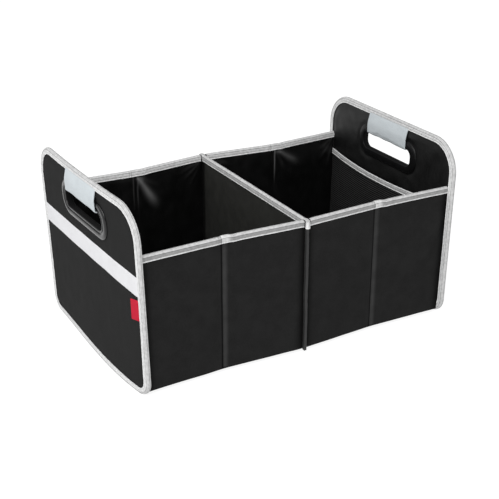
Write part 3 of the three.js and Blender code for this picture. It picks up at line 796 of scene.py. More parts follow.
# The tape is one cloth, and the shades of its copies are painted light: the front wall's outer leaf is
# painted darker as shade, the back wall's, divider's and pocket's tape paler as light, and each fold
# lighter or darker by how it faces the lamps.
end_tape = ribbed_tape("end tape", (0.7, 0.8, 0.55), END_SECTION, END_LEAF_POINTS)
front_tape = ribbed_tape("front wall tape", (0.29, 0.74, 0.56), WALL_SECTION, WALL_LEAF_POINTS,
                         gathered=0.6, pressed=0.5)
back_tape = ribbed_tape("back wall tape", (0.7, 0.95, 0.6), WALL_SECTION, WALL_LEAF_POINTS, pressed=0.45)
inner_tape = ribbed_tape("inner tape", (0.5, 0.95, 0.56), WALL_SECTION, WALL_LEAF_POINTS)


def round_end(section):
    """Loops of the panel's outline at each inset of a section: rows round the panel."""
    return np.stack([panel_loop(inset) for inset, _ in section], axis=1)


# %% Tape round the ends
PUCKER_PITCH, PUCKER_RISE = 16.3 * MM, 0.16 * MM


def corner_nearness(line):
    """1 at the middle of each round corner of an end panel, falling to 0 on the straight runs."""
    nearness = 0
    for y_sign in (-1, 1):
        for edge, inwards, radius in ((0, 1, BOTTOM_RADIUS), (PANEL_HEIGHT, -1, TOP_RADIUS)):
            middle = (y_sign * (PANEL_WIDTH / 2 - 0.3 * radius), edge + 0.3 * inwards * radius)
            nearness = nearness + bell(np.linalg.norm(line - middle, axis=-1), 0, 0.8 * radius)
    return nearness


def end_binding(side_name, end):
    """Tape round an end: its section carried round the outline, with puckers at the corners."""
    inside = inner_line(END_SECTION, TAPE)
    outer_flat, inner_flat = round_end(END_SECTION), round_end(inside)
    fold = outer_flat[:, len(END_SECTION) // 2]
    along = lengths_along(fold)
    uneven = 0.1 * MM * ripple(along, along, 30 * MM, 5)
    pucker = PUCKER_RISE * np.sin(2 * np.pi * along / PUCKER_PITCH) * corner_nearness(fold) + uneven
    towards_edge = np.clip(np.abs(np.linspace(-1, 1, len(END_SECTION))) - 0.25, 0, 1)
    lift = pucker[:, None] * (towards_edge * np.sign(END_SECTION[:, 1]))[None]
    near = on_end(end, END_SECTION[:, 1] + lift, outer_flat[..., 0], outer_flat[..., 1])
    far = on_end(end, inside[:, 1] + lift, inner_flat[..., 0], inner_flat[..., 1])
    name = f"{side_name}_end_binding"
    piece = cloth_solid(name, near, far, grid_uv(near, closed=True), end_tape,
                        [name], closed=True)


for side_name, end in ENDS.items():
    end_binding(side_name, end)

# %% [markdown]
# ## Handle rings
#
# A moulded ring lines the hand hole in two halves. The outer one has a narrow lip, a groove and a
# broad roll, and the inner one is a low soft-edged pad. Both are a closed section carried round the
# hole, which is how a lathe or loft would make them, and bent with the panel afterwards.

# %% Rings round the hand holes
LIP_WIDTH, LIP_HEIGHT, LIP_ROUND = 2.9 * MM, 2.4 * MM, 1.1 * MM
LIP_BASE = END_SEAT + LIP_HEIGHT - LIP_ROUND
GROOVE_WIDTH, GROOVE_HEIGHT = 1.6 * MM, 1.3 * MM
ROLL_HEIGHT, RIM_HEIGHT = 3.3 * MM, 0.5 * MM
PAD_HEIGHT, PAD_ROUND, PAD_EDGE = 3 * MM, 8 * MM, 1.3 * MM


def half_round(start, end_at, base_start, base_end, rise, steps):
    """Half an ellipse from one offset to another, on a base that slopes between two depths."""
    angle = np.linspace(0, np.pi, steps)
    share = (1 - np.cos(angle)) / 2
    return np.stack([start + (end_at - start) * share,
                     base_start + (base_end - base_start) * share + rise * np.sin(angle)], axis=-1)


def outer_ring_section():
    """Offset from the hole and depth: sleeve, lip, groove, roll, and back under the flange."""
    groove = END_SEAT + GROOVE_HEIGHT
    lip = half_round(0, LIP_WIDTH, LIP_BASE, groove, LIP_ROUND, 9)
    roll = half_round(LIP_WIDTH + GROOVE_WIDTH, FLANGE, groove, END_SEAT + RIM_HEIGHT,
                      ROLL_HEIGHT - GROOVE_HEIGHT, 15)
    back = [(FLANGE, END_SEAT), (SLEEVE, END_SEAT), (SLEEVE, INNER_SEAT + GAP), (0, INNER_SEAT + GAP)]
    sleeve = [(0, depth) for depth in np.linspace(INNER_SEAT + GAP, LIP_BASE, 5)[1:-1]]
    return np.array([*lip, *roll, *back, *sleeve])


def inner_ring_section():
    """Offset and depth of the inner pad: a quarter ellipse down to the lining, eased at the hole."""
    angle = np.linspace(0, np.pi / 2, 9)
    outside = np.stack([FLANGE - PAD_ROUND * (1 - np.cos(angle)),
                        INNER_SEAT - PAD_HEIGHT * np.sin(angle)], axis=-1)
    turn = np.linspace(0, np.pi / 2, 5)
    inside = np.stack([PAD_EDGE * (1 - np.sin(turn)),
                       INNER_SEAT - PAD_HEIGHT + PAD_EDGE * (1 - np.cos(turn))], axis=-1)
    return np.array([(0, INNER_SEAT), *outside, *inside])


def ring_piece(name, end, section, look):
    """Carries a ring section round the hand hole of an end."""
    loops = np.stack([slot_loop(offset) for offset, _ in section], axis=1)
    points = on_end(end, section[:, 1][None], loops[..., 0], loops[..., 1])
    along = lengths_along(np.vstack([loops[:, 0], loops[:1, 0]]))
    around = lengths_along(np.vstack([section, section[:1]]))
    uv = np.stack(np.meshgrid(along, around, indexing="ij"), axis=-1)
    return ring_solid(name, points, uv, look, [name])


outer_moulding = moulding("handle moulding", 0.22, 0.55, lengths_along(outer_ring_section())[-4])
inner_moulding = moulding("soft handle pad", 0.45, 0.18, lengths_along(inner_ring_section())[-2])
for side_name, end in ENDS.items():
    ring_piece(f"{side_name}_handle_ring_outer", end, outer_ring_section(), outer_moulding)
    ring_piece(f"{side_name}_handle_ring_inner", end, inner_ring_section(), inner_moulding)

# %% [markdown]
# ## Grip wraps
#
# Over each hand hole a pale padded cloth is wrapped round the bar: it starts under the tape outside,
# runs over the ring, turns under the top of the hole and goes up to the tape inside. It is first made
# flat on its path and a little thin. Then a cloth simulation with pressure inside and no gravity fills
# it: its face towards the bar and its two ends are pinned, its free face swells, and no point may move
# more than a cap, so that it stays clear of the hand hole. A formula could only swell it evenly,
# without the pull of the pinned rims. The rims keep a little width, because the simulation can't run
# on a mesh that has two points in one place.

# %% Shape of the grip wraps
WRAP_THICKNESS = 2 * MM
WRAP_HALF = SLOT_LENGTH / 2 - SLOT_RADIUS - GAP
WRAP_ROWS, WRAP_COLUMNS = 49, 76
WRAP_CAP, WRAP_FILL = 0.7 * MM, 0.3
PADDING_FRAMES, PADDING_PRESSURE, PADDING_MASS, PADDING_QUALITY = 20, 4, 0.3, 6
LEAF_TOP = PANEL_HEIGHT - END_TAPE_WIDTH


def wrap_line():
    """The wrap's middle line as depth and height, from the outer tape under the hole's top edge to
    the inner tape, with its corners rounded by averaging along it."""
    half = WRAP_THICKNESS / 2
    out = END_SEAT + ROLL_HEIGHT + GAP + half
    inn = INNER_SEAT - PAD_HEIGHT - GAP - half
    bottom = SLOT_MIDDLE + SLOT_HEIGHT / 2 - GAP - half
    corners = np.array([(END_SEAT + TAPE * 0.3, LEAF_TOP + 3 * MM), (END_SEAT + half, LEAF_TOP - 1 * MM),
                        (out, LEAF_TOP - 14 * MM), (out, bottom), (inn, bottom),
                        (inn, LEAF_TOP - 14 * MM), (INNER_SEAT - half, LEAF_TOP - 1 * MM),
                        (INNER_SEAT - TAPE * 0.3, LEAF_TOP + 3 * MM)])
    along = lengths_along(corners)
    places = np.linspace(0, along[-1], WRAP_COLUMNS)
    around = np.linspace(-2.8, 2.8, 9) * MM
    return np.stack([np.mean([np.interp(places + d, along, corners[:, k]) for d in around], axis=0)
                     for k in range(2)], axis=-1)


def points_of(mesh):
    """The mesh's points as an array."""
    flat = np.empty(3 * len(mesh.vertices), dtype=np.float32)
    mesh.vertices.foreach_get("co", flat)
    return flat.reshape(-1, 3).astype(float)


def fill_padding(piece, pinned, cap):
    """Runs the cloth simulation on a closed padded piece and keeps its result, with every move
    softly limited to the cap."""
    group = piece.vertex_groups.new(name="pinned")
    group.add([int(i) for i in np.flatnonzero(pinned)], 1.0, "REPLACE")
    cloth = piece.modifiers.new("padding", "CLOTH")
    cloth.settings.quality = PADDING_QUALITY
    cloth.settings.mass = PADDING_MASS
    cloth.settings.vertex_group_mass = group.name
    cloth.settings.use_pressure = True
    cloth.settings.uniform_pressure_force = PADDING_PRESSURE
    cloth.settings.effector_weights.gravity = 0
    cloth.point_cache.frame_start = 1
    cloth.point_cache.frame_end = PADDING_FRAMES
    before = points_of(piece.data)
    for number in range(1, PADDING_FRAMES + 1):
        bpy.context.scene.frame_set(number)
    settled = piece.evaluated_get(bpy.context.evaluated_depsgraph_get())
    move = points_of(settled.data) - before
    piece.modifiers.remove(cloth)
    piece.vertex_groups.remove(group)
    length = np.linalg.norm(move, axis=-1, keepdims=True)
    move = move * cap * np.tanh(length / cap) / np.maximum(length, 1e-9)
    piece.data.vertices.foreach_set("co", (before + move).astype(np.float32).ravel())
    piece.data.update()
    bpy.context.scene.frame_set(1)
    kept = np.linalg.norm(move, axis=-1).max()
    print(f"{piece.name}: the filling moved it up to {length.max() / MM:.2f} mm, kept {kept / MM:.2f} mm")


# %% Make and fill the grip wraps
for side_name, end in ENDS.items():
    line = wrap_line()
    direction = np.gradient(line, axis=0)
    direction /= np.linalg.norm(direction, axis=-1, keepdims=True)
    normal = np.stack([direction[:, 1], -direction[:, 0]], axis=-1)
    share = np.linspace(-1, 1, WRAP_ROWS)[:, None]
    y = WRAP_HALF * np.sin(share * np.pi / 2)
    rim = np.sqrt(np.clip(1 - np.abs(share) ** 18, 0.03, 1))
    run = np.linspace(0, 1, WRAP_COLUMNS)
    middle_part = (ease(run, 0, 0.07) * (1 - ease(run, 0.93, 1)))[None]
    thick = (WRAP_THICKNESS / 2) * rim * (0.3 + 0.7 * middle_part)
    crinkle = 0.14 * MM * ripple(y, lengths_along(line)[None], 22 * MM, 21) * middle_part
    towards_bar, free = thick, -(0.75 * thick + crinkle * rim)
    faces = [on_end(end, line[:, 0] + normal[:, 0] * rise, y, line[:, 1] + normal[:, 1] * rise)
             for rise in (towards_bar, free)]
    name = f"{side_name}_grip_wrap"
    piece = cloth_solid(name, faces[0], faces[1], grid_uv(faces[0]), grip_cloth, [name])
    bar_face = np.ones((WRAP_ROWS, WRAP_COLUMNS), dtype=bool)
    free_face = np.broadcast_to(middle_part < 0.6, bar_face.shape)
    fill_padding(piece, np.concatenate([bar_face.ravel(), free_face.ravel()]), WRAP_CAP)

# %% [markdown]
# ## Band and tag
#
# A white band lies across the outside of the left end and a red tag is sewn in under the tape at the
# front. Both are flat strips on the panel. The band lies a little slack between its sewn ends, and
# the tag, which is sewn in along one side only, stands off at the other.

# %% Band and tag on the left end
TAPE_EDGE = PANEL_WIDTH / 2 - END_TAPE_WIDTH
TRIM_HALF = TAPE_EDGE + 2.5 * MM
BAND_MIDDLE, BAND_WIDTH, BAND_THICKNESS = 164.5 * MM, 28 * MM, 0.9 * MM
TAG_WIDTH, TAG_LENGTH, TAG_TOP, TAG_THICKNESS = 12.5 * MM, 30 * MM, 145.5 * MM, 0.9 * MM
TAG_SPRING, STRIP_EDGE = 0.38, 1.2 * MM


def flat_strip(name, y_from, y_to, z_from, z_to, thickness, lift, look, steps):
    """A strip on the outer cloth of the left end, raised by lift(y, z) and eased at its edges."""
    y = np.linspace(y_from, y_to, steps[0])[:, None]
    z = np.linspace(z_from, z_to, steps[1])[None]
    y, z = np.broadcast_arrays(y, z)
    raised = lift(y, z)
    edge = ease(z, z_from, z_from + STRIP_EDGE) * (1 - ease(z, z_to - STRIP_EDGE, z_to))
    pressed = ease(np.abs(y), TAPE_EDGE - 1.5 * MM, TAPE_EDGE + 1 * MM)
    thickness = thickness * (1 - 0.8 * pressed)
    near = on_end(ENDS["left"], END_SEAT + raised + thickness * (0.45 + 0.55 * edge), y, z)
    far = on_end(ENDS["left"], END_SEAT + raised, y, z)
    uv = np.stack([y, z], axis=-1)
    piece = cloth_solid(name, near, far, uv, look, [name])
    return piece


def band_lift(y, z):
    """The band lies a little off the cloth, except at its two sewn ends."""
    slack = 1 - ease(np.abs(y), TRIM_HALF - 12 * MM, TRIM_HALF - 2 * MM)
    return 0.25 * MM * (1 + ripple(y, z * 0.3, 70 * MM, 31)) * slack


def tag_lift(y, z):
    """The tag stands off more and more from the tape that holds it."""
    return TAG_SPRING * (y + TAPE_EDGE).clip(0)


flat_strip("closing_band", -TRIM_HALF, TRIM_HALF, BAND_MIDDLE - BAND_WIDTH / 2,
           BAND_MIDDLE + BAND_WIDTH / 2, BAND_THICKNESS, band_lift, band_cloth, (150, 14))
flat_strip("side_tag", -TRIM_HALF, TAG_WIDTH - TAPE_EDGE, TAG_TOP - TAG_LENGTH, TAG_TOP,
           TAG_THICKNESS, tag_lift, tag_cloth, (40, 40))

# %% [markdown]
# ## Long walls
#
# Each half wall is cloth, two boards and lining, with a strip without board where it folds. Outside,
# the cloth sinks into that strip; its left board edge throws a dark line and the strip itself turns
# towards the light, and the cloth's colour adds a painted shadow on that line and a painted highlight
# on the strip. At the middle the two cloths turn outwards together and a black tape covers their raw
# edges. The cloth is worked out as a path in plan that is then raised to the wall's height.

# %% Outer cloth of the walls
def fold_dip(distance, side):
    """The dip of the outer cloth between the boards at a crease: a steep flank to its left and a long
    one to its right, with the cloth a little proud of the boards on both sides."""
    rightwards = side * (distance - CREASE)
    left = ease(rightwards, -6 * MM, -3.6 * MM)
    right = 1 - ease(rightwards, -3.6 * MM, 5.8 * MM)
    proud = 0.5 * bell(rightwards, -9 * MM, 3 * MM) + 0.6 * bell(rightwards, 10 * MM, 4 * MM)
    return (2.3 * left * right - proud) * MM


def spaced(start, stop, step, fine_at, fine_width, fine_step):
    """Distances with a coarse step, and a fine one round one place."""
    coarse = np.arange(start, stop, step)
    fine = np.arange(fine_at - fine_width, fine_at + fine_width, fine_step)
    coarse = coarse[np.abs(coarse - fine_at) > fine_width + step / 2]
    return np.concatenate([np.sort(np.concatenate([coarse, fine])), [stop]])


CLOTH_MIDDLE = WALL_BOARD / 2 + GAP + CLOTH / 2
FIN_HEIGHT, FOOT_ROUND, FOOT_SINK = 4 * MM, 1.5 * MM, 1.4 * MM
FIN_TIP = WALL_BOARD / 2 + GAP + CLOTH + FIN_HEIGHT
WALL_HIGH = WALL_TOP - TAPE - GAP


def plan_normals(path):
    """Normals of a path in plan, pointing to its left."""
    along = np.gradient(path, axis=0)
    along /= np.linalg.norm(along, axis=-1, keepdims=True)
    return np.stack([-along[:, 1], along[:, 0]], axis=-1)


def cloth_plan():
    """The outer cloth's middle line as distance and depth: down along the fin where two cloths meet,
    round its foot, then along the wall to the end panel."""
    fin_x = GAP / 2 + CLOTH / 2
    foot = CLOTH_MIDDLE - FOOT_SINK
    centre = np.array([fin_x + FOOT_ROUND, foot + FOOT_ROUND])
    fin = np.stack([np.full(6, fin_x), np.linspace(FIN_TIP, centre[1] + 0.2 * MM, 6)], axis=-1)
    angle = np.linspace(np.pi, 1.5 * np.pi, 8)
    turn = centre + FOOT_ROUND * np.stack([np.cos(angle), np.sin(angle)], axis=-1)
    distance = spaced(centre[0] + 0.7 * MM, WALL_REACH, 2.6 * MM, CREASE, 13 * MM, 0.7 * MM)
    depth = CLOTH_MIDDLE - FOOT_SINK * (1 - ease(distance, 2 * MM, 9 * MM))
    return np.concatenate([fin, turn, np.stack([distance, depth], axis=-1)])


def fan(distance, z, origin, folds):
    """Ridges that run from an origin. Each fold has an angle below the horizontal, a length, a width
    and a height; its ridge widens along the ray and fades towards its end."""
    dx, dz = distance - origin[0], origin[1] - z
    height = 0
    for angle, length, width, rise in folds:
        turn = math.radians(angle)
        along = dx * math.cos(turn) + dz * math.sin(turn)
        across = -dx * math.sin(turn) + dz * math.cos(turn)
        spread = width * (0.45 + np.clip(along, 0, None) / length)
        fade = ease(along, 0, 0.18 * length) * (1 - ease(along, 0.45 * length, length))
        height = height + rise * fade * np.exp(-((across / spread) ** 2))
    return height


CLOTH_PULLS = [(118, 130 * MM, 9 * MM, 2.2 * MM), (136, 90 * MM, 7 * MM, 1.4 * MM)]


def cloth_lift(distance, z, side, seed):
    """How far a wall's cloth stands off its boards: waves and pulls where it is free, the dips of its
    creases, and nothing under the tape or at its foot."""
    slack = ease(distance, 6 * MM, 22 * MM) * (1 - ease(distance, WALL_REACH - 18 * MM, WALL_REACH))
    slack = slack * (1 - ease(z, WALL_TOP - 26 * MM, WALL_TOP - 14 * MM))
    slack = slack * ease(z, WALL_LOW, WALL_LOW + 20 * MM)
    waves = 0.7 + 0.28 * ripple(distance, z, 80 * MM, seed)
    waves = waves + 0.12 * ripple(distance * 1.4, z * 0.7, 26 * MM, seed + 1)
    waves = waves * (1 - bell(distance, CREASE, 6 * MM)) * MM
    pulls = fan(distance, z, (WALL_REACH, WALL_TOP - 40 * MM), CLOTH_PULLS)
    tape_edge = WALL_TOP - WALL_TAPE_WIDTH
    below_tape = 1 - ease(z, tape_edge - 3 * MM, tape_edge + 1 * MM)
    return (waves + pulls) * slack - fold_dip(distance, side) * below_tape


def wall_cloth(wall_name, side_name):
    """A half wall's outer cloth: its plan path raised to the wall's height."""
    wall, side = WALLS[wall_name], SIDES[side_name]
    path = cloth_plan()
    normal = plan_normals(path)
    distance, depth = path[:, :1], path[:, 1:]
    z = np.concatenate([np.linspace(WALL_LOW, WALL_LOW + 6 * MM, 7),
                        np.linspace(WALL_LOW + 10 * MM, WALL_HIGH, 42)])
    seed = 40 + 3 * side + (7 if wall_name == "back" else 0)
    lift = cloth_lift(distance, z, side, seed)
    layers = [on_wall(wall, side, distance - half * normal[:, :1],
                      depth - half * normal[:, 1:] + lift, z[None])
              for half in (CLOTH / 2, -CLOTH / 2)]
    along = lengths_along(path)
    along = side * (along - np.interp(CREASE, path[:, 0], along) + CREASE)
    uv = np.stack(np.meshgrid(along, z, indexing="ij"), axis=-1)
    name = f"{wall_name}_{side_name}_cloth"
    piece = cloth_solid(name, layers[0], layers[1], uv, wall_cloth_look, [name])


for wall_name, side_name in HALF_WALLS:
    wall_cloth(wall_name, side_name)

# %% [markdown]
# ## Lining and its wrinkles
#
# The coated lining is slack, and where the tape draws it together above a crease it falls into folds
# that fan out downwards. Each fold is a ridge along a ray: a bell across the ray that widens with
# distance and fades out at the fold's length. A cloth simulation gives wrinkles too, but these have
# to fall where the sewing pulls, so they are placed by rays from the points that pull.

# %% Folds of the lining
# Angle below the horizontal in degrees, length, width and height of each fold.
CREASE_FOLDS = {
    "left": [(58, 86 * MM, 8 * MM, 4.4 * MM), (34, 60 * MM, 4 * MM, 1.2 * MM)],
    "right": [(34, 74 * MM, 7 * MM, 3.8 * MM), (62, 60 * MM, 4 * MM, 1.4 * MM)],
}
SEAM_FOLDS = [(20, 60 * MM, 3.5 * MM, 0.8 * MM), (38, 52 * MM, 3 * MM, 1.0 * MM),
              (58, 60 * MM, 3 * MM, 0.7 * MM)]
CORNER_FOLDS = [(150, 46 * MM, 3.5 * MM, 1.2 * MM), (128, 56 * MM, 3.2 * MM, 1.1 * MM),
                (104, 70 * MM, 3 * MM, 0.9 * MM)]
# Thin painted highlights beside each crease as place and strength, and the fold height whose crest gets
# the full painted highlight.
CREASE_HIGHLIGHT_LINES = {"left": [(-3.6 * MM, 0.3), (3.2 * MM, 0.34)], "right": [(1.4 * MM, 0.9)]}
CREASE_HIGHLIGHT_WIDTH = 0.9 * MM
CREST_RISE = {"left": 4.6 * MM, "right": 5.8 * MM, "sewn": 3.2 * MM}
LINING_TOP = WALL_TOP - WALL_TAPE_WIDTH + 2 * MM
LINING_START = DIVIDER_BOARD / 2 + 2 * GAP + DIVIDER_CLOTH


def lining_folds(distance, z, side_name):
    """Height of a lining's folds, and the painted highlight on their crests, from 0 to 1."""
    rightwards = SIDES[side_name] * (distance - CREASE)
    pulled = fan(CREASE + rightwards, z, (CREASE, LINING_TOP), CREASE_FOLDS[side_name])
    sewn = fan(distance, z, (LINING_START, LINING_TOP), SEAM_FOLDS)
    sewn = sewn + fan(distance, z, (WALL_REACH, LINING_TOP), CORNER_FOLDS)
    crest_highlight = (pulled / CREST_RISE[side_name]) ** 2 + (sewn / CREST_RISE["sewn"]) ** 2
    upper = ease(z, LINING_TOP - 66 * MM, LINING_TOP - 20 * MM)
    upper = upper * (1 - ease(z, LINING_TOP - 4 * MM, LINING_TOP))
    for place, strength in CREASE_HIGHLIGHT_LINES[side_name]:
        crest_highlight = crest_highlight + strength * bell(rightwards, place, CREASE_HIGHLIGHT_WIDTH) * upper
    return pulled + sewn, np.clip(crest_highlight, 0, 1)


# %% Lining of the walls
def wall_lining(wall_name, side_name):
    """A half wall's lining, with its folds standing inwards from the wall."""
    wall, side = WALLS[wall_name], SIDES[side_name]
    distance = spaced(LINING_START, WALL_REACH, 2.2 * MM, CREASE, 20 * MM, 1.1 * MM)[:, None]
    z = np.concatenate([np.linspace(WALL_LOW, 90 * MM, 26), np.linspace(92 * MM, WALL_HIGH, 62)])[None]
    folds, crest_highlight = lining_folds(distance, z, side_name)
    seed = 60 + 5 * side + (11 if wall_name == "back" else 0)
    slack = ease(distance, LINING_START, LINING_START + 14 * MM)
    slack = slack * (1 - ease(distance, WALL_REACH - 14 * MM, WALL_REACH))
    below_tape = 1 - ease(z, LINING_TOP - 8 * MM, LINING_TOP - 1 * MM)
    above_foot = ease(z, 12 * MM, 34 * MM)
    waves = 0.4 + 0.45 * ripple(distance, z, 62 * MM, seed)
    waves = waves + 0.2 * ripple(distance, z * 0.5, 21 * MM, seed + 1)
    groove = 0.8 * MM * bell(distance, CREASE, 4.5 * MM)
    inwards = (folds * (0.35 + 0.65 * slack) + waves * slack * MM) * above_foot - groove
    middle = -(WALL_BOARD / 2 + GAP + LINING / 2)
    layers = [on_wall(wall, side, distance, middle - inwards * below_tape + half, z)
              for half in (-LINING / 2, LINING / 2)]
    name = f"{wall_name}_{side_name}_lining"
    piece = cloth_solid(name, layers[0], layers[1], grid_uv(layers[0]), folded_lining, [name])
    # The painted highlight on the fold crests goes on both faces as an attribute of the piece.
    both_faces = np.tile(crest_highlight.ravel(), 2).astype(np.float32)
    piece.data.attributes.new("crest_highlight", "FLOAT", "POINT").data.foreach_set("value", both_faces)
    WALL_REACH - LINING_START


for wall_name, side_name in HALF_WALLS:
    wall_lining(wall_name, side_name)

# %% Tape along the top of the walls
TAPE_STARTS = {"left": 0.8 * MM, "right": 2.6 * MM}


def wall_tape_piece(wall_name, side_name):
    """Folded tape along a half wall's top edge. Where the wall creases it is gathered: it bulges and
    rises steeply to the left of the crease and falls off slowly to the right."""
    wall, side = WALLS[wall_name], SIDES[side_name]
    inside = inner_line(WALL_SECTION, TAPE)
    start = DIVIDER_BOARD / 2 + 3 * GAP + DIVIDER_CLOTH + TAPE + TAPE_STARTS[side_name]
    distance = spaced(start, WALL_REACH, 2.4 * MM, CREASE, 14 * MM, 0.8 * MM)[:, None]
    rightwards = side * (distance - CREASE)
    strength = 1 if wall_name == "front" else 0.3
    steep, slow = ease(rightwards, -6.6 * MM, -4.8 * MM), ease(rightwards, 3 * MM, 12 * MM)
    gathered = strength * steep * (1 - slow)
    bulge = 1.4 * gathered - 0.45 * strength * bell(rightwards, -8 * MM, 1.6 * MM)
    bulge = bulge + 0.45 * bell(rightwards, 0, 20 * MM) - 0.5 * bell(distance, start, 2 * MM)
    seed = 90 + 4 * side + (9 if wall_name == "back" else 0)
    bulge = bulge + 0.16 * ripple(distance, distance, 42 * MM, seed)
    towards_edge = np.clip(np.abs(np.linspace(-1, 1, len(WALL_SECTION))) * 1.6 - 0.2, 0, 1)
    outwards = bulge * MM * (towards_edge * np.sign(WALL_SECTION[:, 1]))[None]
    dip = 0.5 * bell(rightwards, 14 * MM, 6 * MM) - 0.9 * gathered
    dip = dip + 0.7 * bell(distance, start, 2.2 * MM)
    layers = [on_wall(wall, side, distance, line[:, 1][None] + outwards,
                      WALL_TOP - line[:, 0][None] - dip * MM)
              for line in (WALL_SECTION, inside)]
    uv = grid_uv(layers[0])
    uv[..., 0] = side * (uv[..., 0] + CREASE - np.interp(CREASE, distance[:, 0], uv[:, 0, 0]))
    name = f"{wall_name}_{side_name}_binding"
    look = front_tape if wall_name == "front" else back_tape
    piece = cloth_solid(name, layers[0], layers[1], uv, look, [name])
    WALL_REACH - start


for wall_name, side_name in HALF_WALLS:
    wall_tape_piece(wall_name, side_name)

# %% [markdown]
# ## Centre seam, divider and floor
#
# The black tape on the centre seam is folded over the two cloth edges, with a rib along each corner.
# The divider is a flat board between two cloths. Its grey tape runs over the top edge, across both
# walls, and turns down over the end of each seam, where it makes a short nub.

# %% Black tape on the centre seams
SEAM_TAPE, SEAM_TAPE_LOW = 0.7 * MM, 4.5 * MM
FIN_FACE = GAP / 2 + CLOTH
TAPE_FACE = FIN_FACE + GAP + SEAM_TAPE
TAPE_TIP = FIN_TIP + GAP + SEAM_TAPE


def seam_section(count):
    """Plan line of the seam tape as offset from the divider and depth: up one side, over the tip
    with a rib at each corner and a groove between them, and down the other side."""
    angle = np.linspace(0, np.pi, count)
    across = TAPE_FACE * np.sign(np.cos(angle)) * np.abs(np.cos(angle)) ** 0.55
    rise = np.sin(angle) ** 0.5
    seat = WALL_SEAT - 0.8 * MM
    depth = seat + (TAPE_TIP - seat) * rise - 0.7 * MM * bell(across, 0, 0.8 * MM) * (rise > 0.9)
    rib = 1 + 0.22 * bell(depth, TAPE_TIP - 1.4 * MM, 1.1 * MM)
    return np.stack([across * rib, depth], axis=-1)


for wall_name, wall in WALLS.items():
    line = seam_section(41)
    inside = inner_line(line, SEAM_TAPE)
    z = np.linspace(SEAM_TAPE_LOW, WALL_HIGH, 60)[:, None]
    sway = 0.35 * MM * ripple(z, z, 90 * MM, 71)
    puff = 1 + 0.06 * ripple(z, z, 14 * MM, 72)
    layers = []
    for place in (line, inside):
        x = DIVIDER_X + place[:, 0][None] * puff + sway
        depth = place[:, 1][None] * np.ones_like(z)
        y = wall["outward"] * (BOX_DEPTH / 2 + wall["centre_out"] + depth)
        layers.append(np.stack([x, y, np.broadcast_to(z, x.shape)], axis=-1))
    name = f"{wall_name}_seam_tape"
    piece = cloth_solid(name, layers[0], layers[1], grid_uv(layers[0]), seam_tape, [name])

# %% Divider cloths
DIVIDER_FACE = DIVIDER_BOARD / 2 + GAP + DIVIDER_CLOTH
front_reach, back_reach = (BOX_DEPTH / 2 + wall["centre_out"] + WALL_BOARD / 2 for wall in WALLS.values())
for side_name, side in SIDES.items():
    y = np.linspace(-front_reach, back_reach, 110)[:, None]
    z = np.linspace(WALL_LOW, WALL_HIGH, 70)[None]
    y, z = np.broadcast_arrays(y, z)
    slack = (1 - ease(z, WALL_TOP - 24 * MM, WALL_TOP - 14 * MM)) * ease(z, WALL_LOW, 26 * MM)
    slack = slack * ease(y, -front_reach, -front_reach + 20 * MM)
    slack = slack * (1 - ease(y, back_reach - 20 * MM, back_reach))
    waves = 0.5 + 0.35 * ripple(y, z, 80 * MM, 100 + side) + 0.12 * ripple(y, z, 24 * MM, 110 + side)
    x = DIVIDER_BOARD / 2 + GAP + waves * MM * slack
    near = np.stack([DIVIDER_X + side * (x + DIVIDER_CLOTH), y, z], axis=-1)
    far = np.stack([DIVIDER_X + side * x, y, z], axis=-1)
    name = f"divider_{side_name}_cloth"
    piece = cloth_solid(name, near, far, np.stack([y, z], axis=-1), divider_cloth,
                        [name])
    front_reach + back_reach

# %% Path of the tape over the divider
NUB_LOW, NUB_ROUND, NUB_STEPS = WALL_TOP - 12 * MM, 4 * MM, 8
NUB_LEAF, OVER_WALL_LEAF, TAPE_ROUND = 4.4 * MM, 0.5 * MM, 2.4 * MM


def divider_half(wall, steps):
    """Half of the tape's fold line, from the foot of a nub up, round its corner and along the top to
    the box's middle. Gives its points as distance and height, the direction of its leaves and their
    length: short on the nub, and nearly none where the tape crosses the wall's own tape."""
    base = BOX_DEPTH / 2 + wall["centre_out"]
    tip = base + TAPE_TIP + GAP + TAPE
    heights = np.linspace(NUB_LOW, WALL_TOP - NUB_ROUND, NUB_STEPS)
    rise = np.stack([np.full(NUB_STEPS, tip), heights], axis=-1)
    angle = np.linspace(0, np.pi / 2, 9)[1:]
    outwards = np.stack([np.cos(angle), np.sin(angle)], axis=-1)
    corner = np.array([tip - NUB_ROUND, WALL_TOP - NUB_ROUND]) + NUB_ROUND * outwards
    top = np.linspace(tip - NUB_ROUND, 0, steps)[1:]
    run = np.stack([top, np.full(len(top), WALL_TOP)], axis=-1)
    path = np.concatenate([rise, corner, run])
    inward = np.concatenate([np.tile((-1.0, 0.0), (NUB_STEPS, 1)), -outwards,
                             np.tile((0.0, -1.0), (len(top), 1))])
    on_nub = path[:, 1] < WALL_TOP - 0.01 * MM
    over_wall = path[:, 0] > base + WALL_INNER_SEAT - TAPE - 1 * MM
    return path, inward, np.select([on_nub, over_wall], [NUB_LEAF, OVER_WALL_LEAF], WALL_TAPE_WIDTH)


# %% Tape over the divider
TOP_STEPS, FOLD_STEPS, LEAF_STEPS = 70, 11, 11
back, back_inward, back_leaf = divider_half(WALLS["back"], TOP_STEPS)
front, front_inward, front_leaf = divider_half(WALLS["front"], TOP_STEPS)
path = np.concatenate([back, (front * (-1, 1))[-2::-1]])
inward = np.concatenate([back_inward, (front_inward * (-1, 1))[-2::-1]])
leaf = np.concatenate([back_leaf, front_leaf[-2::-1]])

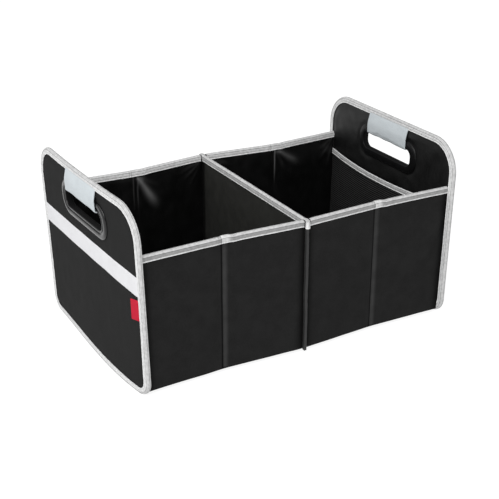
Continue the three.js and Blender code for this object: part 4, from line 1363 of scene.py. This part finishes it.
half_width = DIVIDER_FACE + GAP + TAPE
turn = np.linspace(0, np.pi, FOLD_STEPS)
leaf_share = np.linspace(1, 0, LEAF_STEPS + 1)[:-1]
whole_leaf = np.ones(LEAF_STEPS)
across = half_width * np.concatenate([-whole_leaf, -np.cos(turn), whole_leaf])
down_leaf = np.concatenate([leaf_share, np.zeros(FOLD_STEPS), leaf_share[::-1]])
down_fold = np.concatenate([whole_leaf, 1 - np.sin(turn), whole_leaf])
puff = 1 + 0.1 * bell(down_leaf, 0.5, 0.25) - 0.1 * bell(down_leaf, 0.78, 0.1)
sway = 0.15 * MM * ripple(path[:, :1], path[:, 1:], 45 * MM, 120)
layers = []
for inset in (0, TAPE):
    x = DIVIDER_X + across * (1 - inset / half_width) * puff + sway
    fold = np.minimum(TAPE_ROUND, leaf)[:, None] * down_fold + inset * (down_leaf == 0)
    depth = fold + np.clip(leaf - TAPE_ROUND, 0, None)[:, None] * down_leaf
    y = path[:, :1] + inward[:, :1] * depth
    z = path[:, 1:] + inward[:, 1:] * depth
    layers.append(np.stack(np.broadcast_arrays(x, y, z), axis=-1))
length = lengths_along(path)[-1]
# Painted light as on the pocket's tape, with a painted highlight on both ends where the tape turns down
# as nubs.
divider_tape = ribbed_tape("divider tape", (0.5, 0.95, 0.58), WALL_SECTION, WALL_LEAF_POINTS, ends=length)
piece = cloth_solid("divider_binding", layers[0], layers[1], grid_uv(layers[0]), divider_tape,
                    ["divider_binding"])
2 * WALL_TAPE_WIDTH + 2 * half_width

# %% [markdown]
# ## Mesh pocket
#
# Inside the right end hangs a pocket of black netting whose taped top edge stands off the lining and
# sags at the middle. The netting is one thin sheet, and its holes are in the material: thousands of
# real holes would weigh more than the rest of the box and would not show from arm's length.

# %% Mesh pocket
POCKET_TOP, POCKET_BOTTOM, POCKET_HALF = 178 * MM, 44 * MM, 146.5 * MM
POCKET_SAG, POCKET_STANDOFF, POCKET_MESH, POCKET_TAPE = 3 * MM, 13 * MM, 0.6 * MM, 8.5 * MM


def on_pocket(y, z, out):
    """The pocket's surface: it stands off most at the middle of its top edge, and sags there."""
    across = 1 - (y / POCKET_HALF) ** 2
    up = (z - POCKET_BOTTOM) / (POCKET_TOP - POCKET_BOTTOM)
    depth = INNER_SEAT - POCKET_MESH - TAPE - GAP - POCKET_STANDOFF * across * up - out
    return on_end(ENDS["right"], depth, y, z - POCKET_SAG * across * up)


y = np.linspace(-POCKET_HALF, POCKET_HALF, 90)[:, None]
z = np.linspace(POCKET_BOTTOM, POCKET_TOP - TAPE - GAP, 50)[None]
slack = 0.5 * MM * ripple(y, z, 50 * MM, 130)
layers = [on_pocket(y + 0 * z, z + 0 * y, slack + sign * POCKET_MESH / 2) for sign in (1, -1)]
piece = cloth_solid("mesh_pocket", layers[0], layers[1], grid_uv(layers[0]), pocket_net,
                    ["mesh_pocket"])

# %% Tape along the mesh pocket
tape_face = POCKET_MESH / 2 + GAP + TAPE
section = tape_section(tape_face, -tape_face, POCKET_TAPE, (9, 9))
inside = inner_line(section, TAPE)
y = np.linspace(-POCKET_HALF, POCKET_HALF, 120)[:, None]
sway = 0.15 * MM * ripple(y, y, 40 * MM, 131)
layers = []
for line in (section, inside):
    across, down = np.broadcast_arrays(y, line[:, 0][None])
    layers.append(on_pocket(across, POCKET_TOP - down, line[:, 1][None] + sway))
piece = cloth_solid("mesh_pocket_binding", layers[0], layers[1], grid_uv(layers[0]), inner_tape,
                    ["mesh_pocket_binding"])

# %% Floor cloth
FLOOR_LOW, FLOOR_CLOTH = 6 * MM, 0.8 * MM
x_share = np.linspace(-1, 1, 120)[:, None]
y_share = np.linspace(0, 1, 44)[None]
side = np.sign(x_share)
distance = np.abs(x_share) * (WALL_REACH - 0.5 * MM)
edge = WALL_BOARD / 2 + GAP + CLOTH * 0.4
front, back = (on_wall(WALLS[name], 1, distance, edge, FLOOR_LOW)[..., 1] for name in ("front", "back"))
y = front + (back - front) * y_share
left_reach, right_reach = (end_offset(end, y, FLOOR_LOW) for end in ENDS.values())
spare = np.where(side < 0, left_reach, right_reach) - BOX_LENGTH / 2
x = DIVIDER_X + side * (distance + spare * ease(distance, STRETCH_FROM, WALL_REACH))
sag = 0.15 * MM * ripple(x, y, 60 * MM, 140)
layers = [np.stack(np.broadcast_arrays(x, y, FLOOR_LOW + rise + sag), axis=-1)
          for rise in (FLOOR_CLOTH, 0)]
piece = cloth_solid("floor_cloth", layers[0], layers[1], grid_uv(layers[0]), lining_cloth,
                    ["floor_cloth"])
2 * WALL_REACH

# %% Base boards
BOARD_ROUND = 1.3 * MM
for side_name in SIDES:
    name = f"{side_name}_base_board"
    low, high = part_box(name)
    x_share, y_share = (np.sin(np.linspace(-1, 1, count) * np.pi / 2) for count in (60, 66))
    x_share, y_share = np.meshgrid(x_share, y_share, indexing="ij")
    x = (low.x + high.x) / 2 + x_share * (high.x - low.x) / 2
    y = (low.y + high.y) / 2 + y_share * (high.y - low.y) / 2
    inset = np.minimum(x - low.x, high.x - x)
    inset = np.minimum(inset, np.minimum(y - low.y, high.y - y))
    round_edge = np.sqrt(1 - (1 - np.clip(inset / BOARD_ROUND, 0, 1)) ** 2)
    middle, half = (low.z + high.z) / 2, (high.z - low.z) / 2
    swell = half * (0.25 + 0.75 * round_edge)
    top = middle + swell + 0.25 * MM * ripple(x, y, 70 * MM, 150) * round_edge * ease(inset, 0, 20 * MM)
    near, far = (np.stack([x, y, z], axis=-1) for z in (top, middle - swell))
    cloth_solid(name, near, far, grid_uv(near), lining_cloth, [name])

# %% [markdown]
# ## Boards inside the cloth
#
# The boards are right as they are in the construction model, and cloth hides them. They keep their
# solids and only get the finish of plain grey board.

# %% Finish the boards and close
for name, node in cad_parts.items():
    if not node.hide_render:
        node.data.materials.clear()
        node.data.materials.append(board)
        print("board finish on", name)
